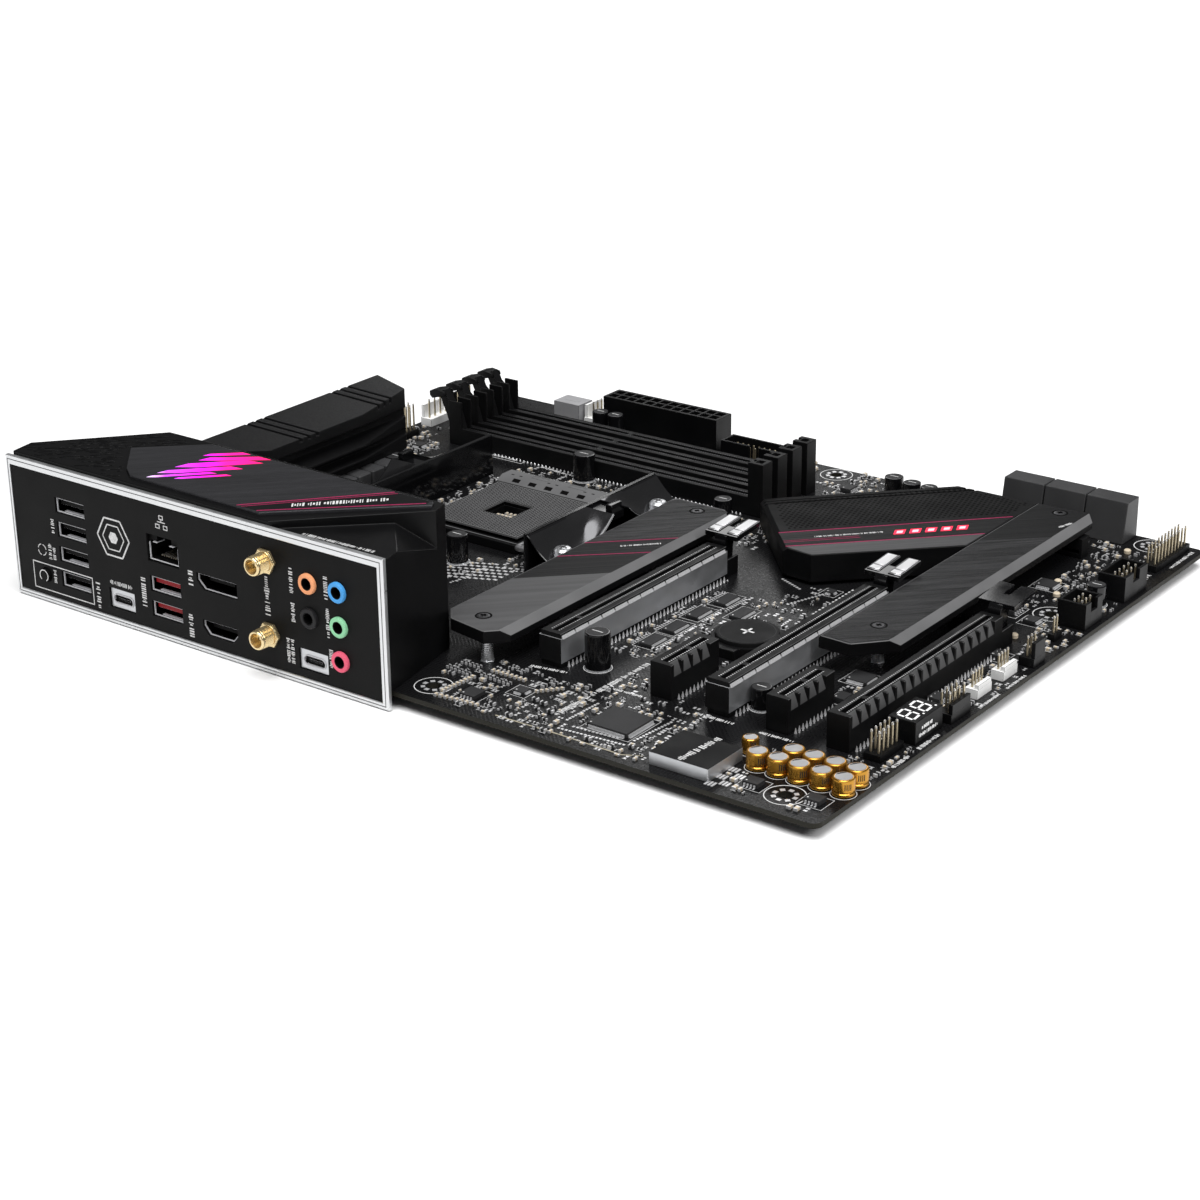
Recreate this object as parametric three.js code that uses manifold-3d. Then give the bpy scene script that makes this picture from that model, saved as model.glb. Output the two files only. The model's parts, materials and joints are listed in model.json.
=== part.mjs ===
// A full-size ATX motherboard for a pin-grid processor, built as separate pieces in millimetres.
// Pieces are modelled in the board's own grid: x runs from the board's top edge towards the
// expansion slots' edge, y runs from the rear port edge towards the front edge, and z is the height
// above the board's top face. One group then moves the lot so that the origin is under the middle
// of the whole object, at its lowest point, with +Z up.
import * as THREE from 'three';
import { mergeVertices } from 'three/addons/utils/BufferGeometryUtils.js';
import Module from 'manifold-3d';

const wasm = await Module();
wasm.setup();

// ---- Driving dimensions ----

const BOARD = { length: 304.8, width: 243.84, thickness: 1.6, cornerRadius: 3 };
const PAD_THICKNESS = 0.1;
const PAD_RADIUS = 4.2;
const HOLE_RADIUS = 1.98;
const MOUNT_HOLES = [
  [6.35, 33.02], [6.35, 165.1], [6.35, 237.49],
  [163.83, 10.16], [163.83, 165.1], [163.83, 237.49],
  [288.29, 10.16], [288.29, 165.1], [288.29, 237.49],
];

const SOCKET = { x: 96.1, y: 130.6 };
const BRACKET_BOLTS = { dx: 45, dy: 27, radius: 2.6 };

const PLATE = { x0: -2.9, x1: 155.2, z0: -2.9, z1: 40.2, y0: -3.0, y1: -2.0 };
const RIM = { x0: -4.4, x1: 157.8, z0: -5.0, z1: 43.4, y0: -3.4, y1: -1.85 };
const PORT_FRONT = -1.9;
const ANTENNA = { x: 110.4, heights: [8.1, 32.2], tip: -8.8 };

const SLOT = { pitch: 20.32, firstCentre: 163.28, width: 7.5, height: 11.2, rear: 42 };
const LONG_SLOT = 89;
const SHORT_SLOT = 25;

const MEMORY = { count: 4, firstY: 187.0, pitch: 9.5, width: 6.1, height: 6.8, x0: 25.5, x1: 166.7 };
const MEMORY_LATCH = { x: 28.5, z: 4, openDegrees: 22 };

const LEVER = { y: 156.2, z: 3.6, radius: 1.2 };

// ---- Materials ----

function material(color, roughness, metalness) {
  return new THREE.MeshStandardMaterial({ color, roughness, metalness });
}

const laminate = material(0x101012, 0.55, 0.1);
const blackPlastic = material(0x0d0d0e, 0.5, 0);
const glossBlack = material(0x0a0a0c, 0.12, 0);
const greyPlastic = material(0x4d4e50, 0.5, 0);
const blackAluminium = material(0x1c1c1f, 0.42, 0.6);
const brightSteel = material(0xc8cacd, 0.3, 1);
const darkSteel = material(0x2a2b2d, 0.4, 0.8);
const gold = material(0xd9b25a, 0.25, 1);
const shieldSteel = material(0xa9acb0, 0.25, 1);

// ---- Shape helpers: every shape is a closed solid until addPart turns it into a mesh ----

function solid(geometry) {
  geometry.deleteAttribute('normal');
  geometry.deleteAttribute('uv');
  const merged = mergeVertices(geometry, 1e-4);
  return new wasm.Manifold(new wasm.Mesh({
    numProp: 3,
    vertProperties: new Float32Array(merged.getAttribute('position').array),
    triVerts: new Uint32Array(merged.getIndex().array),
  }));
}

function block(x0, x1, y0, y1, z0, z1) {
  const geometry = new THREE.BoxGeometry(x1 - x0, y1 - y0, z1 - z0);
  return solid(geometry.translate((x0 + x1) / 2, (y0 + y1) / 2, (z0 + z1) / 2));
}

function extrusion(points, depth) {
  const shape = new THREE.Shape(points.map(([a, b]) => new THREE.Vector2(a, b)));
  return new THREE.ExtrudeGeometry(shape, { depth, bevelEnabled: false, curveSegments: 6 });
}

// A plan outline of [x, y] points, raised from z0 to z1.
function slab(outline, z0, z1) {
  return solid(extrusion(outline, z1 - z0).translate(0, 0, z0));
}

// A section of [y, z] points, run along x.
function alongX(section, x0, x1) {
  const turn = new THREE.Matrix4().makeBasis(
    new THREE.Vector3(0, 1, 0), new THREE.Vector3(0, 0, 1), new THREE.Vector3(1, 0, 0));
  return solid(extrusion(section, x1 - x0).applyMatrix4(turn).translate(x0, 0, 0));
}

// A section of [x, z] points, run along y.
function alongY(section, y0, y1) {
  return solid(extrusion(section, y1 - y0).rotateX(Math.PI / 2).translate(0, y1, 0));
}

// A round bar from one point to another.
function bar(from, to, radius, sides = 16) {
  const start = new THREE.Vector3(...from);
  const end = new THREE.Vector3(...to);
  const geometry = new THREE.CylinderGeometry(radius, radius, start.distanceTo(end), sides);
  const turn = new THREE.Quaternion().setFromUnitVectors(
    new THREE.Vector3(0, 1, 0), end.clone().sub(start).normalize());
  const middle = start.add(end).multiplyScalar(0.5);
  return solid(geometry.applyQuaternion(turn).translate(middle.x, middle.y, middle.z));
}

// Everything beyond a plane: a very large block standing on it.
function beyond(point, normal) {
  const size = 500;
  const direction = new THREE.Vector3(...normal).normalize();
  const turn = new THREE.Quaternion().setFromUnitVectors(new THREE.Vector3(0, 0, 1), direction);
  const geometry = new THREE.BoxGeometry(size, size, size).translate(0, 0, size / 2);
  return solid(geometry.applyQuaternion(turn).translate(...point));
}

function join(...pieces) {
  return pieces.reduce((whole, piece) => whole.add(piece));
}

function cut(body, ...tools) {
  return tools.reduce((left, tool) => left.subtract(tool), body);
}

function range(count) {
  return Array.from({ length: count }, (_, index) => index);
}

// A rectangle with cut corners, as a list of points.
function cutCornerRectangle(x0, x1, y0, y1, corner) {
  return [
    [x0 + corner, y0], [x1 - corner, y0], [x1, y0 + corner], [x1, y1 - corner],
    [x1 - corner, y1], [x0 + corner, y1], [x0, y1 - corner], [x0, y0 + corner],
  ];
}

const motherboard = new THREE.Group();

function addPart(name, body, look, parent = motherboard) {
  const { vertProperties, triVerts } = body.getMesh();
  const geometry = new THREE.BufferGeometry();
  geometry.setAttribute('position', new THREE.BufferAttribute(vertProperties, 3));
  geometry.setIndex(new THREE.BufferAttribute(triVerts, 1));
  geometry.computeVertexNormals();
  const mesh = new THREE.Mesh(geometry, look);
  mesh.name = name;
  parent.add(mesh);
}

// ---- Board and socket backplate ----

function roundedBoard() {
  const { length, width, thickness, cornerRadius: r } = BOARD;
  const shape = new THREE.Shape();
  shape.moveTo(r, 0);
  shape.lineTo(length - r, 0);
  shape.absarc(length - r, r, r, -Math.PI / 2, 0);
  shape.lineTo(length, width - r);
  shape.absarc(length - r, width - r, r, 0, Math.PI / 2);
  shape.lineTo(r, width);
  shape.absarc(r, width - r, r, Math.PI / 2, Math.PI);
  shape.lineTo(0, r);
  shape.absarc(r, r, r, Math.PI, Math.PI * 1.5);
  const options = { depth: thickness, bevelEnabled: false, curveSegments: 4 };
  return solid(new THREE.ExtrudeGeometry(shape, options).translate(0, 0, -thickness));
}

function bracketBoltPlaces() {
  const { dx, dy } = BRACKET_BOLTS;
  return [[-dx, -dy], [dx, -dy], [dx, dy], [-dx, dy]]
    .map(([x, y]) => [SOCKET.x + x, SOCKET.y + y]);
}

function circuitBoard() {
  const underside = -BOARD.thickness;
  const pads = MOUNT_HOLES.map(([x, y]) =>
    bar([x, y, underside - PAD_THICKNESS], [x, y, underside + 0.3], PAD_RADIUS, 24));
  const holes = MOUNT_HOLES.map(([x, y]) => bar([x, y, -5], [x, y, 5], HOLE_RADIUS));
  const boltHoles = bracketBoltPlaces()
    .map(([x, y]) => bar([x, y, -5], [x, y, 5], BRACKET_BOLTS.radius + 0.3));
  return cut(join(roundedBoard(), ...pads), ...holes, ...boltHoles);
}

// The steel plate behind the socket, with a threaded post through the board at each bolt place.
function socketBackplate() {
  const top = -BOARD.thickness - 0.05;
  const plate = slab(
    cutCornerRectangle(SOCKET.x - 52, SOCKET.x + 52, SOCKET.y - 33, SOCKET.y + 33, 9),
    top - 2.6, top);
  const window = block(SOCKET.x - 21, SOCKET.x + 21, SOCKET.y - 21, SOCKET.y + 21, -9, 0);
  const posts = bracketBoltPlaces()
    .map(([x, y]) => bar([x, y, top - 1], [x, y, -0.3], BRACKET_BOLTS.radius));
  return join(cut(plate, window), ...posts);
}

// ---- Rear ports ----

const usbA = (x0, z) => ({ x0, x1: x0 + 13.2, z0: z - 2.5, z1: z + 2.5 });
const USB_STACK_X = 17.3;
const NETWORK_STACK_X = 59.0;
const USB_PORTS = [4.7, 13.4, 22.0, 30.3].map((z) => usbA(USB_STACK_X, z));
const NETWORK_USB_PORTS = [4.4, 12.9].map((z) => usbA(NETWORK_STACK_X, z));
const NETWORK_PORT = { x0: 58.8, x1: 72.2, z0: 20.6, z1: 29.6 };
const TYPE_C_PORT = { x0: 39.6, x1: 50.8, z0: 0.3, z1: 6.9 };
const TYPE_C_FRONT = -2.4;
const AUDIO_TYPE_C_PORT = { x0: 122.0, x1: 133.6, z0: -0.1, z1: 6.5 };
const FLASH_BUTTON = { x: 9.8, z: 4.4, radius: 2.2 };
const AUDIO_JACKS = [[127.3, 28.7], [127.3, 17.5], [139.2, 28.7], [139.2, 17.5], [139.2, 6.3]];
const JACK = { radius: 3.2, bore: 1.8, front: -4.0 };

// The two video ports' mouths, as [x, z] outlines.
const DISPLAY_MOUTH = [[79.9, 21.3], [79.9, 18.6], [82.6, 16.0], [97.1, 16.0], [97.1, 21.3]];
const TV_MOUTH = [[81.2, 5.9], [81.2, 3.4], [83.4, 0.9], [94.0, 0.9], [96.2, 3.4], [96.2, 5.9]];

function mouth({ x0, x1, z0, z1 }, depth, margin = 0) {
  return block(x0 - margin, x1 + margin, -9, depth, z0 - margin, z1 + margin);
}

function portPlate() {
  const { x0, x1, z0, z1, y0, y1 } = PLATE;
  const ports = [...USB_PORTS, ...NETWORK_USB_PORTS, NETWORK_PORT, TYPE_C_PORT, AUDIO_TYPE_C_PORT];
  const roundHoles = [
    ...ANTENNA.heights.map((z) => [ANTENNA.x, z, 3.4]),
    ...AUDIO_JACKS.map(([x, z]) => [x, z, JACK.radius + 0.15]),
    [FLASH_BUTTON.x, FLASH_BUTTON.z, FLASH_BUTTON.radius + 0.35],
  ];
  return cut(
    block(x0, x1, y0, y1, z0, z1),
    ...ports.map((port) => mouth(port, 9, 0.15)),
    alongY(DISPLAY_MOUTH, -9, 9),
    alongY(TV_MOUTH, -9, 9),
    ...roundHoles.map(([x, z, radius]) => bar([x, -9, z], [x, 9, z], radius)));
}

// The sprung metal flange round the plate: a flat face with a return that runs back to the board.
function plateRim() {
  const { x0, x1, z0, z1, y0, y1 } = RIM;
  const opening = block(PLATE.x0 - 0.05, PLATE.x1 + 0.05, -9, 9, PLATE.z0 - 0.05, PLATE.z1 + 0.05);
  const recess = block(x0 + 0.6, x1 - 0.6, y0 + 0.7, 9, z0 + 0.6, z1 - 0.6);
  return cut(block(x0, x1, y0, y1, z0, z1), opening, recess);
}

// A USB mouth with the contact tongue standing in its upper half, still joined at the back.
function usbMouth(port) {
  const tongue = block(port.x0 + 1, port.x1 - 1, -1.2, 14, port.z1 - 2.3, port.z1 - 0.6);
  return cut(mouth(port, 11), tongue);
}

function usbStack() {
  return cut(block(16.2, 31.6, PORT_FRONT, 16, 0.4, 34.2), ...USB_PORTS.map(usbMouth));
}

function networkStack() {
  const { x0, x1, z0, z1 } = NETWORK_PORT;
  const middle = (x0 + x1) / 2;
  const socketMouth = join(
    block(x0 + 0.8, x1 - 0.8, -9, 12, z0 + 0.8, z1 - 2.2),
    block(middle - 3.1, middle + 3.1, -9, 12, z0 + 2, z1 - 0.4));
  return cut(
    block(57.8, 73.4, PORT_FRONT, 21, 0.4, 31),
    socketMouth,
    ...NETWORK_USB_PORTS.map(usbMouth));
}

// A reversible port: a bright shell that fills its hole in the plate, with an oval mouth.
function typeCPort({ x0, x1, z0, z1 }, front) {
  const x = (x0 + x1) / 2;
  const z = (z0 + z1) / 2 - 0.2;
  const halfWidth = 4.3;
  const halfHeight = 1.5;
  const oval = cutCornerRectangle(x - halfWidth, x + halfWidth, z - halfHeight, z + halfHeight, 1.1);
  const tongue = block(x - 3.2, x + 3.2, front + 1, 8, z - 0.35, z + 0.35);
  return cut(block(x0, x1, front, 8.5, Math.max(z0, 0), z1), cut(alongY(oval, -9, 6.5), tongue));
}

function videoPort(outline, x0, x1, z0, z1, tongueZ) {
  const centre = (x0 + x1) / 2;
  const tongue = block(centre - 5.5, centre + 5.5, -0.5, 12, tongueZ - 0.6, tongueZ + 0.6);
  return cut(block(x0, x1, PORT_FRONT, 12, z0, z1), cut(alongY(outline, -9, 9), tongue));
}

function wirelessModule() {
  return block(ANTENNA.x - 6, ANTENNA.x + 6, PORT_FRONT, 24, 0.4, 38);
}

// A threaded coaxial post: flange nut behind, thread, then an open barrel with a centre pin.
function antennaPost(z) {
  const front = PLATE.y0 - 0.05;
  const nut = new THREE.CylinderGeometry(4.4, 4.4, 2.2, 6);
  const post = join(
    solid(nut.translate(ANTENNA.x, front - 1.1, z)),
    bar([ANTENNA.x, PORT_FRONT - 0.05, z], [ANTENNA.x, ANTENNA.tip, z], 3.2, 20));
  const barrel = cut(
    bar([ANTENNA.x, ANTENNA.tip - 1, z], [ANTENNA.x, ANTENNA.tip + 4, z], 2.4),
    bar([ANTENNA.x, ANTENNA.tip - 2, z], [ANTENNA.x, ANTENNA.tip + 6, z], 0.5, 8));
  const tipTrim = block(ANTENNA.x - 1, ANTENNA.x + 1, ANTENNA.tip - 3, ANTENNA.tip, z - 1, z + 1);
  return cut(cut(post, barrel), tipTrim);
}

function audioJackBlock() {
  const body = cut(
    block(121.2, 145.6, PORT_FRONT, 14, 0.4, 35),
    block(121.0, 134.2, -9, 20, -1, 7.2));
  const sleeves = AUDIO_JACKS.map(([x, z]) => bar([x, JACK.front, z], [x, 0, z], JACK.radius, 20));
  const bores = AUDIO_JACKS.map(([x, z]) => bar([x, -9, z], [x, 11, z], JACK.bore, 12));
  return cut(join(body, ...sleeves), ...bores);
}

function flashButton() {
  const { x, z, radius } = FLASH_BUTTON;
  return join(
    bar([x, -4.2, z], [x, 0.4, z], radius),
    bar([x, -1.5, z], [x, -0.5, z], radius + 0.9));
}

// ---- Shroud over the rear ports ----

const SHROUD_OUTLINE = [
  [-2.2, -1.8], [157, -1.8], [149.6, 35], [32.6, 35], [-2.2, 6],
];
const SHROUD_TOP = { height: 44.7, riseAlongY: 0.0775 };
const SHROUD_WALL = 2;
const STEP = { height: 42.2, riseAlongY: 0.045, foot: [109.5, -3], head: [150.8, 29.5] };
const END_BEVEL = { point: [141, 22, 43], normal: [0.43, 0.357, 0.829] };

// The shroud's outer form, or with an inset the hollow inside it. Its top slopes up towards the
// front; the end beyond a slanting line is one step lower and is bevelled off at its corner.
function shroudForm(inset) {
  const [rearLeft, rearRight, frontRight, frontLeft, left] = SHROUD_OUTLINE;
  const drop = inset > 0 ? 3 : 0;
  const floor = inset > 0 ? -2 : 0.1;
  const outline = [
    [rearLeft[0] + inset, rearLeft[1] - drop],
    [rearRight[0] - inset, rearRight[1] - drop],
    [frontRight[0] - inset, frontRight[1] - inset],
    [frontLeft[0] + inset * 0.4, frontLeft[1] - inset],
    [left[0] + inset, left[1] + inset * 0.2],
  ];
  const above = ({ height, riseAlongY }) => beyond([0, 0, height - inset], [0, -riseAlongY, 1]);
  const inward = new THREE.Vector3(...END_BEVEL.normal).multiplyScalar(-inset);
  const bevelPoint = new THREE.Vector3(...END_BEVEL.point).add(inward).toArray();
  const lowerEnd = slab([
    [STEP.foot[0] - inset, STEP.foot[1] - 9], [190, STEP.foot[1] - 9], [190, STEP.head[1] + 9],
    [STEP.head[0] - inset, STEP.head[1]], [STEP.foot[0] - inset, STEP.foot[1]],
  ], -20, 90);
  const trimmed = join(above(STEP), beyond(bevelPoint, END_BEVEL.normal)).intersect(lowerEnd);
  return cut(slab(outline, floor, 90), above(SHROUD_TOP), trimmed);
}

const INLAY = {
  outline: [
    [32.5, 17.5], [43.5, 5], [49, 1.2], [105.5, 0.2], [148.5, 30.3], [147, 32.6], [54, 32.6],
  ],
  proud: 0.9,
  depth: 0.6,
};

// A thin slab that lies in the shroud's sloping top face, between two offsets from it.
function topSkin(outline, below, above) {
  const { height, riseAlongY } = SHROUD_TOP;
  const normal = [0, -riseAlongY, 1];
  const layer = cut(slab(outline, 20, 90), beyond([0, 0, height + above], normal));
  return layer.intersect(beyond([0, 0, height + below], normal));
}

function rearPortCover() {
  const pocket = topSkin(INLAY.outline, -INLAY.depth, 5);
  return cut(shroudForm(0), shroudForm(SHROUD_WALL), pocket);
}

// ---- Heatsinks ----

function vrmHeatsinkTop() {
  const section = [
    [3, 5], [27.5, 5], [27.5, 8.4], [30.5, 9.4], [30.5, 10.2], [25, 10.6], [25, 13.2], [30.5, 14.3],
    [30.5, 15.2], [27, 17.1], [24.5, 17.6], [24.5, 20.5], [30.5, 22.6], [30.5, 26.8], [12, 31],
    [3, 21],
  ];
  const plan = [
    [0, 66], [20, 66], [30.5, 83.5], [30.5, 131], [25.6, 159], [25, 160], [0, 160],
  ];
  const body = alongY(section, 60, 165).intersect(slab(plan, 0, 50));
  const topGrooves = [84, 128].flatMap((start) => range(3).map((index) => {
    const y = start + index * 4.2;
    return slab([[-2, y], [36, y + 16], [36, y + 17.6], [-2, y + 1.6]], 25.4, 50);
  }));
  return cut(body, ...topGrooves);
}

function vrmHeatsinkSide() {
  const body = slab([[42, 37], [138, 37], [138, 46], [130, 50.5], [50, 50.5], [42, 46]], 4, 34);
  const fins = range(7).map((index) => {
    const x = 52 + index * 12;
    return block(x, x + 5, 43, 60, 8, 40);
  });
  return cut(body, ...fins);
}

// A bar over a drive bay: a flat top, one long bevel, and ends cut to the plan.
const DRIVE_BEVEL = 2.5;

function driveHeatsink(x0, x1, plan) {
  const edge = x1 + DRIVE_BEVEL;
  const section = [[x0, 7.8], [edge, 7.8], [edge, 10], [x1, 12], [x0 + 0.8, 12], [x0, 11.2]];
  return alongY(section, 0, BOARD.width).intersect(slab(plan, 0, 30));
}

const UPPER_DRIVE = { x0: 147.6, x1: 171.3, postAt: [165.2, 34] };
const LOWER_DRIVE = { x0: 251.6, x1: 271, postAt: [262.6, 101.6] };

function upperDriveHeatsink() {
  const { x0, x1 } = UPPER_DRIVE;
  const edge = x1 + DRIVE_BEVEL;
  return driveHeatsink(x0, x1, [
    [x0, 38], [153, 31.6], [168, 29], [edge, 35], [edge, 152], [169, 157.5], [149.5, 157.5],
    [x0, 155],
  ]);
}

function lowerDriveHeatsink() {
  const { x0, x1 } = LOWER_DRIVE;
  const edge = x1 + DRIVE_BEVEL;
  return driveHeatsink(x0, x1, [
    [x0, 85], [263, 84.5], [edge, 96.2], [edge, 222], [270.8, 224.6], [x0, 223.5],
  ]);
}

// The heatsink over the chipset: one corner slopes down, and two channels run beside its long edge.
function chipsetHeatsink() {
  const [corner, tip, end] = [[171, 176], [202, 142.2], [220, 226.4]];
  const outline = [corner, tip, [213.5, 141.2], [250.6, 178], [250.6, 226.4], end];
  const outward = [tip[1] - corner[1], corner[0] - tip[0]];
  const edge = new THREE.Vector2(end[0] - corner[0], end[1] - corner[1]).normalize();
  const beside = (reach, inset) =>
    [corner[0] + edge.x * reach + edge.y * inset, corner[1] + edge.y * reach - edge.x * inset];
  const channelWidth = 0.9;
  const channels = [2.2, 4.6].map((inset) => {
    const far = inset + channelWidth;
    return slab([beside(-9, inset), beside(90, inset), beside(90, far), beside(-9, far)], 9.6, 20);
  });
  return cut(
    slab(outline, 1.2, 10.7), beyond([...corner, 9.2], [...outward, 42]), ...channels);
}

// ---- Drive bay connectors and posts ----

function driveConnector(x0, y0, height) {
  const body = block(x0, x0 + 22, y0, y0 + 5.2, 0, height);
  return cut(body, block(x0 + 1, x0 + 21, y0 - 1, y0 + 3.6, 1.6, 2.9));
}

function drivePost([x, y]) {
  return join(bar([x, y, 0], [x, y, 7.4], 2.4), bar([x, y, 1.2], [x, y, 2.2], 3.2));
}

// ---- Processor socket ----

const SOCKET_WINDOW = { halfX: 6.3, halfY: 6.2 };

function socketWindow(margin) {
  const { halfX, halfY } = SOCKET_WINDOW;
  return block(
    SOCKET.x - halfX - margin, SOCKET.x + halfX + margin,
    SOCKET.y - halfY - margin, SOCKET.y + halfY + margin, -1, 20);
}

function shaftChannel() {
  const half = LEVER.radius + 0.5;
  return block(79, 130, LEVER.y - half, LEVER.y + half, LEVER.z - half, LEVER.z + half);
}

function socketBase() {
  const body = slab(cutCornerRectangle(75.2, 118.2, 107.6, 161.4, 1.2), 0, 3.2);
  return cut(body, socketWindow(0), shaftChannel());
}

function socketCamCover() {
  const body = alongX([[151.6, 3.2], [161.2, 3.2], [161.2, 5.4], [160, 6.5], [152.4, 6.5],
    [151.6, 5.8]], 74.6, 118.2);
  const notches = range(5).map((index) => {
    const x = 81 + index * 7.2;
    return block(x, x + 2.6, 151, 153.2, 4.6, 9);
  });
  return cut(body, shaftChannel(), ...notches);
}

function socketSlidePlate() {
  const { x, y } = SOCKET;
  const body = slab(cutCornerRectangle(x - 19.8, x + 19.8, y - 19.8, y + 19.8, 1), 3.5, 5.0);
  return cut(body, socketWindow(-0.1));
}

function socketLever() {
  const { y, z, radius } = LEVER;
  const armX = 120.2;
  const elbow = new THREE.SphereGeometry(radius, 12, 8).translate(armX, y, z);
  const foot = new THREE.SphereGeometry(radius, 12, 8).translate(armX, 106, z);
  return join(
    bar([80, y, z], [armX, y, z], radius, 12),
    solid(elbow),
    bar([armX, y, z], [armX, 106, z], radius, 12),
    solid(foot),
    bar([armX, 106, z], [124.6, 106, z], radius, 12));
}

// A smooth curve through a few plan or profile points, as a list of short steps.
function smoothLine(points, steps = 18) {
  const curve = new THREE.SplineCurve(points.map(([a, b]) => new THREE.Vector2(a, b)));
  return curve.getPoints(steps).map(({ x, y }) => [x, y]);
}

// One cooler bracket: an inner wall, a dished tray round each bolt and a hook in the middle.
function coolerBracket(side) {
  const at = (distance) => SOCKET.x + side * distance;
  const spanX = (a, b) => [Math.min(at(a), at(b)), Math.max(at(a), at(b))];
  const [wall0, wall1] = spanX(35.6, 37.4);
  const [tray0, tray1] = spanX(36.6, 49.2);
  const dish = smoothLine([[36.2, 6.2], [32.4, 5.4], [27, 4.4], [20, 5.4], [12, 9], [4, 15]]);
  const under = smoothLine([[4, 12.6], [12, 7], [20, 3.6], [27, 2.8], [33.4, 3.6], [36.2, 4.4]]);
  const trays = [-1, 1].map((end) =>
    alongX([...dish, ...under].map(([d, z]) => [SOCKET.y + end * d, z]), tray0, tray1));
  const bosses = [-1, 1].map((end) => {
    const y = SOCKET.y + end * BRACKET_BOLTS.dy;
    return bar([at(BRACKET_BOLTS.dx), y, 0], [at(BRACKET_BOLTS.dx), y, 4.2], 3.2, 12);
  });
  const [hook0, hook1] = spanX(37, 47.2);
  const hook = block(hook0, hook1, SOCKET.y - 4.2, SOCKET.y + 4.2, 11.2, 14);
  const [lip0, lip1] = spanX(44.6, 47.2);
  const lip = block(lip0, lip1, SOCKET.y - 3, SOCKET.y + 3, 13.5, 17);
  return join(
    block(wall0, wall1, SOCKET.y - 36.2, SOCKET.y + 36.2, 0, 15),
    ...trays, ...bosses, hook, lip);
}

// ---- Memory slots ----

function memorySlot(y) {
  const { x0, x1, width, height } = MEMORY;
  const side = width / 2;
  const body = block(x0, x1, y - side, y + side, 0, height);
  const tower = block(x1 - 6.2, x1, y - side, y + side, 0, 19.6);
  const cheeks = block(x0, x0 + 6.1, y - side, y + side, 0, 17);
  const moduleGroove = join(
    block(x0 + 6.5, 86, y - 0.8, y + 0.8, 2.4, 40),
    block(88, x1 - 4.7, y - 0.8, y + 0.8, 2.4, 40));
  const latchChannel = block(x0 - 5, x0 + 7.1, y - 2.2, y + 2.2, 1, 40);
  const window = block(x1 - 4.1, x1 - 1.5, y - 1.3, y + 1.3, 15.4, 30);
  return cut(join(body, tower, cheeks), moduleGroove, latchChannel, window);
}

// The latch in its closed, upright place about its pivot: a foot, a stem and a thumb head.
function memoryLatch() {
  const foot = bar([0, -1.8, 0], [0, 1.8, 0], 2.5, 16);
  const stem = alongY([[-2.5, 0], [2.4, 0], [2.9, 6], [2.9, 9.5], [1.2, 13], [0.6, 17.4],
    [-2.6, 17.4], [-2.2, 8]], -1.8, 1.8);
  const head = alongY([[-6.4, 17.1], [-5.8, 15.7], [0.5, 15], [0.7, 16.5], [-2.4, 18.3],
    [-5.8, 18.7]], -2.9, 2.9);
  return join(foot, stem, head);
}

// ---- Expansion slots ----

const slotCentre = (step) => SLOT.firstCentre + SLOT.pitch * step;
const half = SLOT.width / 2;

function slotBody(step, length) {
  const x = slotCentre(step);
  const front = SLOT.rear + length;
  const body = block(x - half, x + half, SLOT.rear, front, 0, SLOT.height);
  const cardGroove = join(
    block(x - 0.9, x + 0.9, SLOT.rear + 2, SLOT.rear + 13.2, 2.5, 20),
    block(x - 0.9, x + 0.9, SLOT.rear + 15.2, front - 2, 2.5, 20));
  return cut(body, cardGroove);
}

// The row of slanting pockets along one top edge of an unshielded slot.
function slotTeeth(step, length) {
  const x = slotCentre(step);
  const pitch = 4.9;
  const count = Math.floor((length - 2) / pitch);
  const wedge = [[x + half + 1, 12], [x + 1.9, 12], [x + half + 0.01, 7.2], [x + half + 1, 7.2]];
  return range(count).map((index) => {
    const y = SLOT.rear + 1.6 + index * pitch;
    return alongY(wedge, y, y + pitch - 1.1);
  });
}

// The two cheeks at a long slot's front end that hold its card latch.
function latchCheeks(step) {
  const x = slotCentre(step);
  const front = SLOT.rear + LONG_SLOT;
  return [-1, 1].map((side) => {
    const outer = x + side * half;
    const inner = x + side * 2.6;
    return block(Math.min(outer, inner), Math.max(outer, inner), front - 0.5, front + 7, 0, 6.2);
  });
}

function slotShield(step) {
  const x = slotCentre(step);
  const rear = SLOT.rear;
  const front = SLOT.rear + LONG_SLOT;
  const inner = half + 0.05;
  return cut(
    block(x - inner - 0.4, x + inner + 0.4, rear - 0.45, front, 1.7, 9.8),
    block(x - inner, x + inner, rear - 0.05, front + 1, 0, 12));
}

// A card latch about its pivot: a stem between the cheeks, a hook over the card and a thumb plate.
function slotLatch() {
  const stem = alongX([[-2.2, -1.6], [2.2, -1.6], [2.6, 6], [3.4, 9.8], [3.4, 11.2], [-1.6, 11.2],
    [-2.6, 8.4]], -2.2, 2.2);
  const plate = alongX([[-1.2, 10], [12.4, 11.4], [12.6, 12.6], [-1.4, 11.6]], -6.3, 6.3);
  const gap = block(-1.1, 1.1, 5.2, 20, 5, 20);
  return cut(join(stem, plate), gap);
}

// ---- Edge connectors and small parts ----

const SATA = { x0: 233, pitch: 15.75, width: 15.3, y0: 232.6, y1: 243.7, height: 14.3 };

function sataStack(index) {
  const x = SATA.x0 + index * SATA.pitch;
  const body = alongX([[SATA.y0, 0], [SATA.y1, 0], [SATA.y1, SATA.height],
    [SATA.y0 + 2.6, SATA.height]], x, x + SATA.width);
  const mouths = [1.6, 8.4].map((z) => {
    const space = block(x + 1.6, x + SATA.width - 1.6, SATA.y1 - 7, SATA.y1 + 5, z, z + 4.6);
    return cut(space, block(x + 3, x + SATA.width - 3.4, 230, SATA.y1 - 0.8, z + 2.2, z + 3.4));
  });
  return cut(body, ...mouths);
}

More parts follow.
